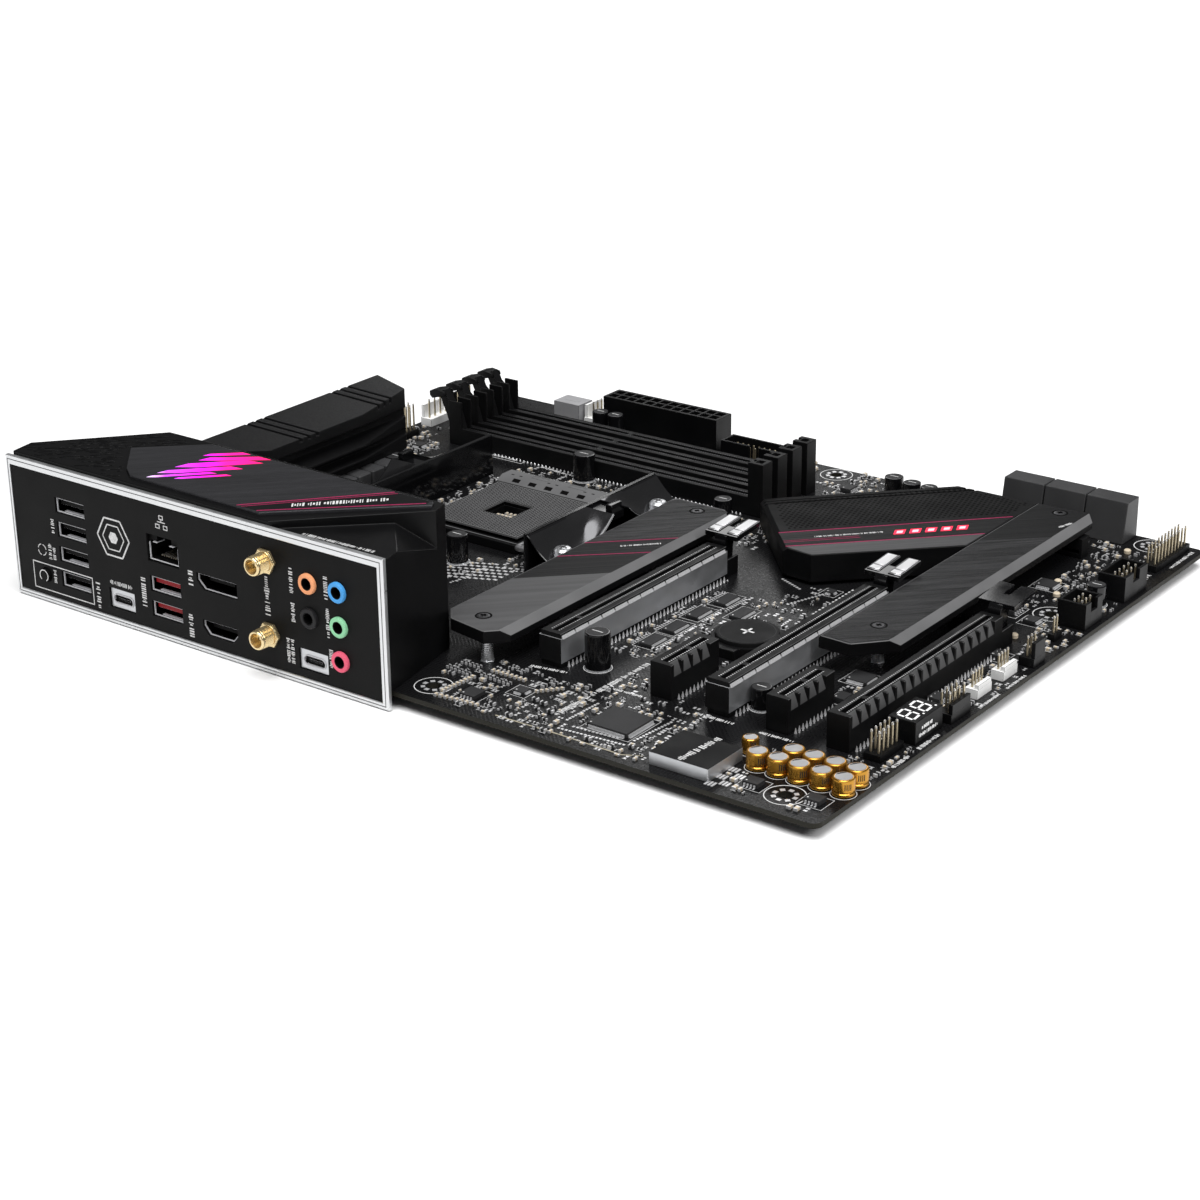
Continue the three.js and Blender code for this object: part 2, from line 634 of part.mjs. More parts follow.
// A power connector: a block with a grid of square contact wells and a latch ramp on one side.
function powerConnector({ x, y, columns, rows, rampX }) {
  const pitch = 4.2;
  const rim = 0.9;
  const width = columns * pitch + 2 * rim;
  const depth = rows * pitch + 2 * rim;
  const wells = range(columns).flatMap((column) => range(rows).map((row) => {
    const wellX = x + rim + column * pitch + 0.45;
    const wellY = y + rim + row * pitch + 0.45;
    return block(wellX, wellX + 3.3, wellY, wellY + 3.3, 3, 20);
  }));
  const ramp = block(rampX - 3, rampX + 3, y + depth - 0.2, y + depth + 1.6, 4, 10.5);
  return cut(join(block(x, x + width, y, y + depth, 0, 13), ramp), ...wells);
}

function usbHeader() {
  const well = block(123, 150, 225, 231.4, 1.5, 20);
  const keyway = block(134.5, 138.5, 220, 226, 3.5, 20);
  return cut(block(122, 151, 224, 232.4, 0, 9), well, keyway);
}

const COIN_CELL = { x: 223, y: 90, radius: 10, z0: 1.2, z1: 4.4 };

function cellHolder() {
  const { x, y, radius, z0 } = COIN_CELL;
  return cut(
    join(bar([x, y, 0], [x, y, 3.2], radius + 1.4, 32), block(x - 4, x + 4, y - 13.5, y - 9, 0, 3.2)),
    bar([x, y, z0], [x, y, 20], radius + 0.15, 32));
}

// ---- Assembly ----

addPart('circuit_board', circuitBoard(), laminate);
addPart('socket_backplate', socketBackplate(), darkSteel);
addPart('rear_port_plate', portPlate(), blackPlastic);
addPart('port_plate_rim', plateRim(), brightSteel);
addPart('usb_stack', usbStack(), darkSteel);
addPart('network_usb_stack', networkStack(), darkSteel);
addPart('type_c_port', typeCPort(TYPE_C_PORT, TYPE_C_FRONT), brightSteel);
addPart('audio_type_c_port', typeCPort(AUDIO_TYPE_C_PORT, TYPE_C_FRONT), brightSteel);
addPart('display_port', videoPort(DISPLAY_MOUTH, 78.6, 98.4, 14.6, 22.8, 19.2), darkSteel);
addPart('tv_port', videoPort(TV_MOUTH, 79.8, 97.6, 0, 7.2, 3.6), darkSteel);
addPart('wireless_module', wirelessModule(), shieldSteel);
ANTENNA.heights.forEach((z, index) =>
  addPart(`antenna_post_${index + 1}`, antennaPost(z), gold));
addPart('audio_jack_block', audioJackBlock(), blackPlastic);
addPart('flash_button', flashButton(), blackPlastic);
addPart('rear_port_cover', rearPortCover(), blackPlastic);
addPart('cover_inlay', topSkin(INLAY.outline, -INLAY.depth, INLAY.proud), glossBlack);

addPart('vrm_heatsink_top', vrmHeatsinkTop(), blackAluminium);
addPart('vrm_heatsink_side', vrmHeatsinkSide(), blackAluminium);
addPart('m2_heatsink_upper', upperDriveHeatsink(), blackAluminium);
addPart('m2_heatsink_lower', lowerDriveHeatsink(), blackAluminium);
addPart('m2_connector_upper', driveConnector(149, 147, 4.2), blackPlastic);
addPart('m2_connector_lower', driveConnector(252.4, 213, 7), blackPlastic);
addPart('m2_post_upper', drivePost(UPPER_DRIVE.postAt), brightSteel);
addPart('m2_post_lower', drivePost(LOWER_DRIVE.postAt), brightSteel);
addPart('chipset_heatsink', chipsetHeatsink(), blackAluminium);

addPart('socket_base', socketBase(), blackPlastic);
addPart('socket_cam_cover', socketCamCover(), greyPlastic);
addPart('socket_slide_plate', socketSlidePlate(), greyPlastic);
addPart('socket_lever', socketLever(), brightSteel);
addPart('cooler_bracket_top', coolerBracket(-1), blackPlastic);
addPart('cooler_bracket_bottom', coolerBracket(1), blackPlastic);

range(MEMORY.count).forEach((index) => {
  const y = MEMORY.firstY + index * MEMORY.pitch;
  addPart(`memory_slot_${index + 1}`, memorySlot(y), blackPlastic);
  const pivot = new THREE.Group();
  pivot.position.set(MEMORY_LATCH.x, y, MEMORY_LATCH.z);
  pivot.rotation.y = -THREE.MathUtils.degToRad(MEMORY_LATCH.openDegrees);
  motherboard.add(pivot);
  addPart(`memory_latch_${index + 1}`, memoryLatch(), blackPlastic, pivot);
});

const LONG_SLOTS = [{ step: 1, shielded: true }, { step: 4, shielded: true }, { step: 6, shielded: false }];
LONG_SLOTS.forEach(({ step, shielded }, index) => {
  const teeth = shielded ? [] : slotTeeth(step, LONG_SLOT);
  const body = cut(slotBody(step, LONG_SLOT), ...teeth);
  addPart(`long_slot_${index + 1}`, join(body, ...latchCheeks(step)), blackPlastic);
  if (shielded) addPart(`slot_shield_${index + 1}`, slotShield(step), shieldSteel);
  const pivot = new THREE.Group();
  pivot.position.set(slotCentre(step), SLOT.rear + LONG_SLOT + 3.6, 2.6);
  motherboard.add(pivot);
  addPart(`slot_latch_${index + 1}`, slotLatch(), shielded ? brightSteel : blackPlastic, pivot);
});
[3, 5].forEach((step, index) => {
  const body = cut(slotBody(step, SHORT_SLOT), ...slotTeeth(step, SHORT_SLOT));
  addPart(`short_slot_${index + 1}`, body, blackPlastic);
});

range(3).forEach((index) => addPart(`sata_stack_${index + 1}`, sataStack(index), blackPlastic));
addPart('main_power_connector',
  powerConnector({ x: 62.7, y: 231.5, columns: 12, rows: 2, rampX: 88.8 }), blackPlastic);
addPart('cpu_power_connector',
  powerConnector({ x: 2, y: 39.5, columns: 2, rows: 4, rampX: 7 }), blackPlastic);
addPart('usb_header', usbHeader(), blackPlastic);
addPart('audio_can', block(247, 267, 4.2, 21.4, 0, 4), darkSteel);
addPart('code_display', block(292.4, 301.6, 57, 72.4, 0, 7.2), blackPlastic);
addPart('cell_holder', cellHolder(), blackPlastic);
const { x: cellX, y: cellY, radius: cellRadius, z0: cellZ0, z1: cellZ1 } = COIN_CELL;
addPart('coin_cell', bar([cellX, cellY, cellZ0], [cellX, cellY, cellZ1], cellRadius, 32), darkSteel);

motherboard.position.set(
  -(RIM.x0 + BOARD.length) / 2,
  -(ANTENNA.tip + BOARD.width) / 2,
  -RIM.z0);

export default motherboard;
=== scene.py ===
# The looks of a full-size motherboard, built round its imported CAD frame.
#
# Pieces are placed in the board's own grid, in millimetres: x runs from the top edge to the slot
# edge, y from the rear port edge to the front edge, and z is the height above the board's top face.
import json
import math
import random

import bmesh
import bpy
from mathutils import Matrix, Vector


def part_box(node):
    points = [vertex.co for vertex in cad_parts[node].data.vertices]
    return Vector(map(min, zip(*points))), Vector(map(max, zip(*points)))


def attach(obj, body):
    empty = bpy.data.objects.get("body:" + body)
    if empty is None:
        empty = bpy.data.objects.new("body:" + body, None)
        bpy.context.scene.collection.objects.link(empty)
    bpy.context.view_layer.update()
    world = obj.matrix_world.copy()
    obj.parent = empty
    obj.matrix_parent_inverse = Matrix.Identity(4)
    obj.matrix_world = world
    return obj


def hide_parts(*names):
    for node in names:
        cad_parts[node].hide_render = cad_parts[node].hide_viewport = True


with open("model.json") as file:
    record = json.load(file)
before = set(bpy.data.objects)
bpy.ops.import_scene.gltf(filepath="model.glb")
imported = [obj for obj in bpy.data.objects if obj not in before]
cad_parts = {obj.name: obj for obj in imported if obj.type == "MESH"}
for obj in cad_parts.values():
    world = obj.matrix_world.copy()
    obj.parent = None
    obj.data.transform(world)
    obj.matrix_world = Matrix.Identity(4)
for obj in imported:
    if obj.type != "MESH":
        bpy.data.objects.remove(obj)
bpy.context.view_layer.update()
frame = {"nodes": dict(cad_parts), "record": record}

MM = 0.001


def board_origin():
    """The board's rear top corner at its top face, in the row frame."""
    low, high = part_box("circuit_board")
    return Vector((low.x, low.y, high.z))


ORIGIN = board_origin()


def node_box(node):
    """A CAD node's lowest and highest corners in board millimetres."""
    low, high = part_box(node)
    return (low - ORIGIN) / MM, (high - ORIGIN) / MM


def middle_of(node):
    """The middle of a CAD node in plan."""
    low, high = node_box(node)
    return (low.x + high.x) / 2, (low.y + high.y) / 2


# ---- Camera, light and floor ----

CAMERA_PLACE = (621.2, -515.8, 314.9)
CAMERA_FORWARD = (-0.5548, 0.7388, -0.3826)
CAMERA_ROLL = 0.0115
CAMERA_LENS = 76.69
ROOM_LIGHT = 0.1
# In metres: the floor's half side, and its gap below the part.
FLOOR_REACH = 4
FLOOR_DROP = 0.0004
FLOOR_COLOR = (0.92, 0.92, 0.92, 1)


def make_camera():
    """The camera, rolled a little about its view, with its place in board millimetres."""
    forward = Vector(CAMERA_FORWARD).normalized()
    level = forward.cross(Vector((0, 0, 1))).normalized()
    right = Matrix.Rotation(CAMERA_ROLL, 3, forward) @ level
    up = right.cross(forward)
    data = bpy.data.cameras.new("camera")
    data.lens = CAMERA_LENS
    data.sensor_width = 36
    data.clip_start = 0.02
    data.clip_end = 20
    camera = bpy.data.objects.new("camera", data)
    bpy.context.scene.collection.objects.link(camera)
    turn = Matrix((right, up, -forward)).transposed().to_4x4()
    camera.matrix_world = Matrix.Translation(ORIGIN + Vector(CAMERA_PLACE) * MM) @ turn
    bpy.context.scene.camera = camera


def make_light(name, place, size, power):
    """A square soft light that points at the middle of the board."""
    data = bpy.data.lights.new(name, "AREA")
    data.shape = "SQUARE"
    data.size = size
    data.energy = power
    light = bpy.data.objects.new(name, data)
    bpy.context.scene.collection.objects.link(light)
    light.location = place
    aim = Vector((0, 0, 0.01)) - Vector(place)
    light.rotation_euler = aim.to_track_quat("-Z", "Y").to_euler()


def make_sun(name, direction, spread, strength):
    """A broad light from far away, which falls evenly on the floor and the board."""
    data = bpy.data.lights.new(name, "SUN")
    data.angle = spread
    data.energy = strength
    light = bpy.data.objects.new(name, data)
    bpy.context.scene.collection.objects.link(light)
    light.rotation_euler = Vector(direction).to_track_quat("Z", "Y").to_euler()


def make_stage():
    """The pale floor, the even light of the room and two soft lights."""
    world = bpy.data.worlds.new("studio")
    world.use_nodes = True
    background = world.node_tree.nodes["Background"]
    background.inputs["Color"].default_value = (1, 1, 1, 1)
    background.inputs["Strength"].default_value = ROOM_LIGHT
    bpy.context.scene.world = world
    bpy.context.scene.view_settings.view_transform = "Standard"
    make_sun("sky_light", (0.15, -0.25, 1.0), math.radians(50), 3.7)
    make_light("back_light", (-0.6, 1.0, 0.6), 0.3, 0.8)
    make_light("side_light", (1.0, -0.1, 0.75), 0.4, 5)
    mesh = bpy.data.meshes.new("floor")
    corners = [(x * FLOOR_REACH, y * FLOOR_REACH, 0)
               for x, y in ((-1, -1), (1, -1), (1, 1), (-1, 1))]
    mesh.from_pydata(corners, [], [(0, 1, 2, 3)])
    floor = bpy.data.objects.new("floor", mesh)
    floor.location.z = -FLOOR_DROP
    bpy.context.scene.collection.objects.link(floor)
    paint = bpy.data.materials.new("floor_paint")
    paint.use_nodes = True
    surface = paint.node_tree.nodes["Principled BSDF"]
    surface.inputs["Base Color"].default_value = FLOOR_COLOR
    surface.inputs["Roughness"].default_value = 0.9
    mesh.materials.append(paint)


make_camera()
make_stage()


# ---- Materials ----

class Look:
    """A material's node tree, with short ways to add and link its nodes."""

    def __init__(self, name, roughness=0.5, metallic=0.0, **shader):
        self.material = bpy.data.materials.new(name)
        self.material.use_nodes = True
        self.tree = self.material.node_tree
        self.surface = self.tree.nodes["Principled BSDF"]
        self.surface.inputs["Roughness"].default_value = roughness
        self.surface.inputs["Metallic"].default_value = metallic
        for socket, value in shader.items():
            self.surface.inputs[socket.replace("_", " ")].default_value = value

    def node(self, kind, inputs=(), **settings):
        """A new node whose inputs are linked where they are sockets and set where they aren't."""
        node = self.tree.nodes.new("ShaderNode" + kind)
        for key, value in settings.items():
            setattr(node, key, value)
        for key, value in dict(inputs).items():
            if isinstance(value, bpy.types.NodeSocket):
                self.tree.links.new(value, node.inputs[key])
            else:
                node.inputs[key].default_value = value
        return node

    def place(self, size=(1, 1, 1), turn=0.0):
        """Object coordinates counted in cells of this size in millimetres, turned about Z."""
        coordinates = self.node("TexCoord")
        mapping = self.node("Mapping", {
            "Vector": coordinates.outputs["Object"], "Rotation": (0, 0, turn),
            "Scale": [length * MM for length in size]}, vector_type="TEXTURE")
        return mapping.outputs["Vector"]

    def noise(self, size, turn=0.0, detail=2.0):
        fields = {"Vector": self.place(size, turn), "Scale": 1.0, "Detail": detail}
        return self.node("TexNoise", fields).outputs["Fac"]

    def math(self, operation, *values):
        return self.node("Math", dict(enumerate(values)), operation=operation).outputs[0]

    def spread(self, factor, low, high, start=0.3, end=0.7):
        """factor, which runs from start to end, as a number from low to high."""
        fields = {"Value": factor, "From Min": start, "From Max": end, "To Min": low,
                  "To Max": high}
        return self.node("MapRange", fields).outputs["Result"]

    def mix(self, factor, first, second):
        node = self.node("Mix", {"Factor": factor}, data_type="RGBA")
        for socket, value in ((node.inputs[6], first), (node.inputs[7], second)):
            if isinstance(value, bpy.types.NodeSocket):
                self.tree.links.new(value, socket)
            else:
                socket.default_value = (*value, 1)
        return node.outputs[2]

    def color(self, socket):
        self.tree.links.new(socket, self.surface.inputs["Base Color"])

    def roughness(self, socket):
        self.tree.links.new(socket, self.surface.inputs["Roughness"])

    def bump(self, height, distance):
        """Raises the surface by height, a number from 0 to 1, times distance in millimetres."""
        fields = {"Height": height, "Distance": distance * MM, "Strength": 1.0}
        node = self.node("Bump", fields)
        self.tree.links.new(node.outputs["Normal"], self.surface.inputs["Normal"])


def shade(color, factor):
    """A darker or lighter tone of a color."""
    return tuple(min(1.0, part * factor) for part in color)


def moulded(name, color, roughness=0.42, grain=0.3, depth=0.012, specular=0.16):
    """Moulded plastic: fine spark-eroded grain, and a slow change of sheen over the piece."""
    look = Look(name, roughness, Specular_IOR_Level=specular)
    slow = look.noise((14, 14, 14))
    fine = look.noise((grain, grain, grain), detail=3)
    look.color(look.mix(slow, shade(color, 0.8), shade(color, 1.25)))
    look.roughness(look.spread(slow, roughness - 0.07, roughness + 0.07))
    look.bump(fine, depth)
    return look.material


def brushed(name, color, roughness, turn, depth=0.012, contrast=0.35, length=45, **shader):
    """Brushed metal: long fine scratches along one direction in the board's plane."""
    look = Look(name, roughness, metallic=0.3, Specular_IOR_Level=0.2, **shader)
    streaks = look.noise((length, 0.22, 0.22), turn, detail=4)
    bands = look.noise((length * 1.6, 2.2, 2.2), turn)
    both = look.math("MULTIPLY_ADD", bands, 0.5, look.math("MULTIPLY", streaks, 0.5))
    darker, lighter = shade(color, 1 - contrast), shade(color, 1 + contrast)
    look.color(look.mix(look.spread(both, 0, 1), darker, lighter))
    look.roughness(look.spread(streaks, roughness - 0.1, roughness + 0.12))
    look.bump(streaks, depth)
    return look.material


def grooved(name, color, roughness, turn, pitch, depth):
    """Coarsely brushed metal: wavy grooves of uneven depth, one way in the board's plane. Its
    colour is a painted highlight where the grooves stand high and painted shade where they sink.
    """
    look = Look(name, roughness, metallic=0.3, Specular_IOR_Level=0.2)
    waves = look.noise((26, pitch, pitch), turn, detail=2)
    fine = look.noise((40, 0.25, 0.25), turn, detail=3)
    both = look.math("MULTIPLY_ADD", waves, 0.7, look.math("MULTIPLY", fine, 0.3))
    # Colour follows the groove height: painted highlight on the ridges, painted shade in the
    # hollows.
    look.color(look.mix(look.spread(both, 0, 1, 0.36, 0.64), shade(color, 0.35), shade(color, 1.7)))
    look.roughness(look.spread(fine, roughness - 0.08, roughness + 0.1))
    look.bump(both, depth)
    return look.material


def metal(name, color, roughness, rolled=0.003, **shader):
    """Bare or plated sheet metal with faint rolling marks and smudges."""
    look = Look(name, roughness, metallic=0.85, **shader)
    smudge = look.noise((5, 9, 5), 0.3)
    rolling = look.noise((22, 0.4, 0.4), math.pi / 2, detail=3)
    look.color(look.mix(smudge, shade(color, 0.86), shade(color, 1.1)))
    look.roughness(look.spread(smudge, roughness - 0.05, roughness + 0.09))
    look.bump(rolling, rolled)
    return look.material


def printed(name, color, **shader):
    """Screen-printed ink with small uneven spots."""
    look = Look(name, 0.6, **shader)
    spots = look.noise((0.7, 0.7, 0.7), detail=3)
    look.color(look.mix(look.spread(spots, 0, 1, 0.35, 0.6), shade(color, 0.72), color))
    look.bump(spots, 0.01)
    return look.material


def soldered(name):
    """Tin solder: bright, lumpy and a little dulled."""
    look = Look(name, 0.28, metallic=0.5)
    lumps = look.noise((0.5, 0.5, 0.5))
    look.color(look.mix(lumps, (0.55, 0.55, 0.56), (0.9, 0.9, 0.91)))
    look.bump(lumps, 0.05)
    return look.material


def solder_mask(name):
    """The board's black solder mask, with the copper traces under it showing as faint relief."""
    look = Look(name, 0.3, Specular_IOR_Level=0.2)
    region = look.node("TexVoronoi", {"Vector": look.place((26, 20, 40)), "Scale": 1.0})
    heading = look.node("SeparateColor", {"Color": region.outputs["Color"]}).outputs["Red"]
    lanes = []
    for turn in (0.0, math.pi / 4, math.pi / 2):
        fields = {"Vector": look.place((1.15, 1.15, 8), turn), "Scale": 0.32, "Distortion": 0.0}
        wave = look.node("TexWave", fields, wave_profile="SIN", bands_direction="X")
        lanes.append(look.spread(wave.outputs["Fac"], 0, 1, 0.45, 0.7))
    second = look.math("GREATER_THAN", heading, 0.33)
    third = look.math("GREATER_THAN", heading, 0.66)
    bumps = look.node("Mix", {"Factor": second, 2: lanes[0], 3: lanes[1]}).outputs[0]
    bumps = look.node("Mix", {"Factor": third, 2: bumps, 3: lanes[2]}).outputs[0]
    weave = look.noise((0.6, 0.6, 3), detail=2)
    patches = look.noise((30, 24, 30))
    tone = look.math("MULTIPLY_ADD", bumps, 0.45, look.math("MULTIPLY", patches, 0.5))
    look.color(look.mix(tone, (0.0028, 0.0028, 0.003), (0.009, 0.009, 0.0098)))
    look.roughness(look.spread(weave, 0.24, 0.4))
    look.bump(look.math("MULTIPLY_ADD", weave, 0.25, bumps), 0.02)
    return look.material


def glowing(name, strength, start, end):
    """Light through a diffuser: white at one end, then violet, magenta and red along the streak,
    whose ends are distances in millimetres along it from the row's origin."""
    look = Look(name, 0.3)
    along = look.node("SeparateXYZ", {"Vector": look.place((1, 1, 1), STREAK_TURN)}).outputs["X"]
    ramp = look.node("ValToRGB", {"Fac": look.spread(along, 0, 1, start, end)})
    stops = ramp.color_ramp.elements
    stops[0].color = (0.9, 0.72, 1.0, 1)
    stops[1].position = 1.0
    stops[1].color = (1.0, 0.01, 0.09, 1)
    for position, color in ((0.16, (0.55, 0.06, 0.8, 1)), (0.42, (0.8, 0.01, 0.7, 1)),
                            (0.6, (1.0, 0.01, 0.28, 1))):
        stops.new(position).color = color
    look.tree.links.new(ramp.outputs["Color"], look.surface.inputs["Emission Color"])
    look.surface.inputs["Emission Strength"].default_value = strength
    look.color(ramp.outputs["Color"])
    return look.material


STREAK = Vector((0.79, 0.61)).normalized()
STREAK_TURN = math.atan2(STREAK.y, STREAK.x)
BRUSH_TURN = math.radians(45)
BLACK = (0.0035, 0.0035, 0.0038)

SOLDER_MASK = solder_mask("solder_mask")
BOARD_EDGE = moulded("board_edge", (0.017, 0.016, 0.012), 0.6, 0.25, 0.03)
MOULDED_BLACK = moulded("moulded_black", BLACK)
PLATE_BLACK = moulded("plate_black", (0.0068, 0.0068, 0.0069), 0.5, 0.25, 0.015, 0.07)
PORT_BLACK = moulded("port_black", (0.003, 0.003, 0.003), 0.5, 0.4, specular=0.08)
MESH_BLACK = moulded("mesh_black", (0.007, 0.007, 0.0073), 0.5, 0.4, 0.008, 0.08)
SOFT_BLACK = moulded("soft_black", (0.006, 0.006, 0.0063), 0.5, 0.5)
SHINY_BLACK = moulded("shiny_black", (0.004, 0.004, 0.0045), 0.14, 0.8, 0.004, 0.5)
SLOT_BLACK = moulded("slot_black", (0.0045, 0.0045, 0.0048), 0.45, 0.4, 0.008, 0.15)
# The slot teeth's outward sloping faces are the slots' own black plastic; the lighter grey on them
# is a painted highlight.
SLOT_FACET_HIGHLIGHT = moulded("slot_facet_painted_highlight", (0.08, 0.08, 0.081), 0.45, 0.4, 0.008, 0.3)
SOCKET_GREY = moulded("socket_grey", (0.115, 0.115, 0.117), 0.5, 0.35, 0.01)
COVER_BLACK = moulded("cover_black", (0.0045, 0.0045, 0.0048), 0.36, 0.35, 0.02, 0.14)
CHIP_BLACK = moulded("chip_black", (0.03, 0.03, 0.031), 0.5, 0.2)
SATA_BLACK = moulded("sata_black", (0.038, 0.038, 0.039), 0.4, 0.35, specular=0.3)
CHAMFER = moulded("chamfer_grey", (0.12, 0.12, 0.122), 0.5, 0.25, 0.02, 0.3)
PALE_METAL = moulded("pale_metal", (0.3, 0.3, 0.31), 0.35, 0.5, 0.004, 0.6)
LINING = moulded("port_lining", (0.5, 0.5, 0.52), 0.3, 0.4, 0.004, 0.6)
# Flat near-black for the insides of holes, recesses and cuts: painted shade, not the parts' own
# colour.
HOLE_SHADE = moulded("painted_hole_shade", (0.002, 0.002, 0.002), 0.6, specular=0.05)
WHITE_PLASTIC = moulded("white_plastic", (0.82, 0.82, 0.8), 0.4, 0.5, specular=0.5)
CERAMIC = moulded("ceramic", (0.56, 0.48, 0.36), 0.5, 0.4, specular=0.4)
INK = printed("white_ink", (0.72, 0.72, 0.72))
MAGENTA = printed("magenta_ink", (0.36, 0.008, 0.085))
RED_GLOW = printed("red_glow", (0.75, 0.02, 0.05), Emission_Color=(1.0, 0.02, 0.08, 1),
                   Emission_Strength=0.9)
RED_CORE = printed("red_core", (0.9, 0.4, 0.45), Emission_Color=(1.0, 0.45, 0.5, 1),
                   Emission_Strength=0.9)
SOLDER = soldered("solder")
BRIGHT = metal("bright_steel", (0.74, 0.75, 0.77), 0.28)
RIM_STEEL = metal("rim_steel", (0.72, 0.73, 0.74), 0.3, 0.0003)
SHIELD = metal("shield_steel", (0.62, 0.63, 0.65), 0.4, 0.0)
DARK_METAL = metal("dark_steel", (0.1, 0.1, 0.105), 0.35)
LEVER_STEEL = metal("lever_steel", (0.36, 0.36, 0.37), 0.3)
BLACK_CHROME = metal("black_chrome", (0.07, 0.07, 0.073), 0.12, 0.0003)
GOLD = metal("gold_plate", (0.8, 0.64, 0.36), 0.2)
PIN_METAL = metal("pin_metal", (0.5, 0.43, 0.3), 0.3)
CAN_GOLD = metal("capacitor_gold", (0.52, 0.26, 0.036), 0.24, 0.0003)
CAN_TOP = metal("capacitor_top", (0.6, 0.6, 0.61), 0.42)
BRUSHED_LIGHT = brushed("brushed_light", (0.085, 0.085, 0.087), 0.42, BRUSH_TURN, 0.01, 0.3)
GROOVED_HIGHLIT = grooved("grooved_heatsink_painted_light", (0.024, 0.024, 0.025), 0.42, BRUSH_TURN, 1.1, 0.35)
SATIN_BLACK = brushed("satin_black", (0.008, 0.008, 0.0085), 0.48, BRUSH_TURN, 0.003, 0.12, 60)
INLAY_FILM = brushed("inlay_film", (0.034, 0.034, 0.037), 0.22, STREAK_TURN, 0.0006, 0.3, 80)
ANODISED = brushed("anodised", (0.0095, 0.0095, 0.01), 0.44, 0, 0.006, 0.15, 12)


# ---- Solid helpers ----

CIRCLE_SIDES = 20


def circle(radius, sides=CIRCLE_SIDES, centre=(0, 0)):
    """The corners of a regular polygon in plan."""
    step = 2 * math.pi / sides
    turns = [step * index for index in range(sides)]
    return [(centre[0] + radius * math.cos(turn), centre[1] + radius * math.sin(turn))
            for turn in turns]


def around(x, y, half_x, half_y=None):
    """The plan box that reaches this far to each side of a centre."""
    half_y = half_x if half_y is None else half_y
    return x - half_x, x + half_x, y - half_y, y + half_y


def skin(levels, sides, closed=False):
    """The faces over levels of points with this many sides each: two caps and the bands between
    the levels or, where the last level joins the first, the bands alone."""
    bands = [(band * sides + i, band * sides + (i + 1) % sides,
              (band + 1) % levels * sides + (i + 1) % sides, (band + 1) % levels * sides + i)
             for band in range(levels if closed else levels - 1) for i in range(sides)]
    last = (levels - 1) * sides
    return bands if closed else [list(range(sides))[::-1], list(range(last, last + sides)), *bands]


class Solids:
    """Gathers small closed solids, in board millimetres, into the mesh of one object."""

    def __init__(self, name, *looks, body="root"):
        self.name = name
        self.looks = looks
        self.body = body
        self.vertices = []
        self.faces = []
        self.slots = []
        self.turn = Matrix.Identity(4)

    def add(self, points, faces, slot=0):
        """Adds a solid, with one look's number for all its faces or a list with one for each."""
        start = len(self.vertices)
        self.vertices += [self.turn @ Vector(point) for point in points]
        self.faces += [[start + index for index in face] for face in faces]
        self.slots += slot if isinstance(slot, list) else [slot] * len(faces)

    def prism(self, outline, z0, z1, slot=0):
        """A plan outline raised from z0 to z1."""
        self.add([(x, y, z) for z in (z0, z1) for x, y in outline], skin(2, len(outline)), slot)

    def box(self, x0, x1, y0, y1, z0, z1, slot=0):
        self.prism([(x0, y0), (x1, y0), (x1, y1), (x0, y1)], z0, z1, slot)

    def drum(self, centre, profile, slot=0, sides=CIRCLE_SIDES, closed=False):
        """A turned solid on a vertical axis, from a profile of (radius, height) points. A closed
        profile leaves the middle open."""
        x, y, z = centre
        points = [(x + a, y + b, z + height) for radius, height in profile
                  for a, b in circle(radius, sides)]
        self.add(points, skin(len(profile), sides, closed), slot)

    def ring(self, centre, inner, outer, z0, z1, slot=0, sides=CIRCLE_SIDES):
        """A flat washer on a vertical axis."""
        self.drum(centre, ((inner, z0), (outer, z0), (outer, z1), (inner, z1)), slot, sides, True)

    def strip(self, start, end, width, z0, z1, slot=0):
        """A straight bar with a flat bottom from start to end in plan."""
        (ax, ay), (bx, by) = start, end
        length = math.hypot(bx - ax, by - ay)
        sx, sy = -(by - ay) / length * width / 2, (bx - ax) / length * width / 2
        self.prism([(ax + sx, ay + sy), (ax - sx, ay - sy), (bx - sx, by - sy), (bx + sx, by + sy)],
                   z0, z1, slot)

    def build(self, bevel=0.0, smooth_angle=35, shows=()):
        """Makes the object, with rounded edges if asked, in place of the CAD nodes it shows."""
        mesh = bpy.data.meshes.new(self.name)
        mesh.from_pydata([ORIGIN + vertex * MM for vertex in self.vertices], [], self.faces)
        for look in self.looks:
            mesh.materials.append(look)
        mesh.polygons.foreach_set("material_index", self.slots)
        work = bmesh.new()
        work.from_mesh(mesh)
        bmesh.ops.recalc_face_normals(work, faces=work.faces)
        if bevel:
            round_edges(work, bevel, 1)
        work.to_mesh(mesh)
        work.free()
        return show(mesh, self.name, self.body, smooth_angle, shows)


def show(mesh, name, body, smooth_angle, replaced=()):
    """Puts a finished mesh in the scene, riding on its body, in place of any CAD nodes named."""
    mesh.polygons.foreach_set("use_smooth", [True] * len(mesh.polygons))
    mesh.set_sharp_from_angle(angle=math.radians(smooth_angle))
    piece = bpy.data.objects.new(name, mesh)
    bpy.context.scene.collection.objects.link(piece)
    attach(piece, body)
    normals = piece.modifiers.new("normals", "WEIGHTED_NORMAL")
    normals.keep_sharp = True
    if replaced:
        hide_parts(*replaced)
    return piece


SHARP_ANGLE = math.radians(28)
FLAT_ANGLE = math.radians(0.6)


def round_edges(work, width, segments):
    """Rounds every edge that turns by more than the sharp angle."""
    sharp = [edge for edge in work.edges
             if edge.is_manifold and edge.calc_face_angle() > SHARP_ANGLE]
    bmesh.ops.bevel(work, geom=sharp, offset=width * MM, segments=segments, profile=0.5,
                    affect="EDGES", clamp_overlap=True)


BODY_OF = {node: body for body, nodes in frame["record"]["behaviour"]["bodies"].items()
           for node in nodes}


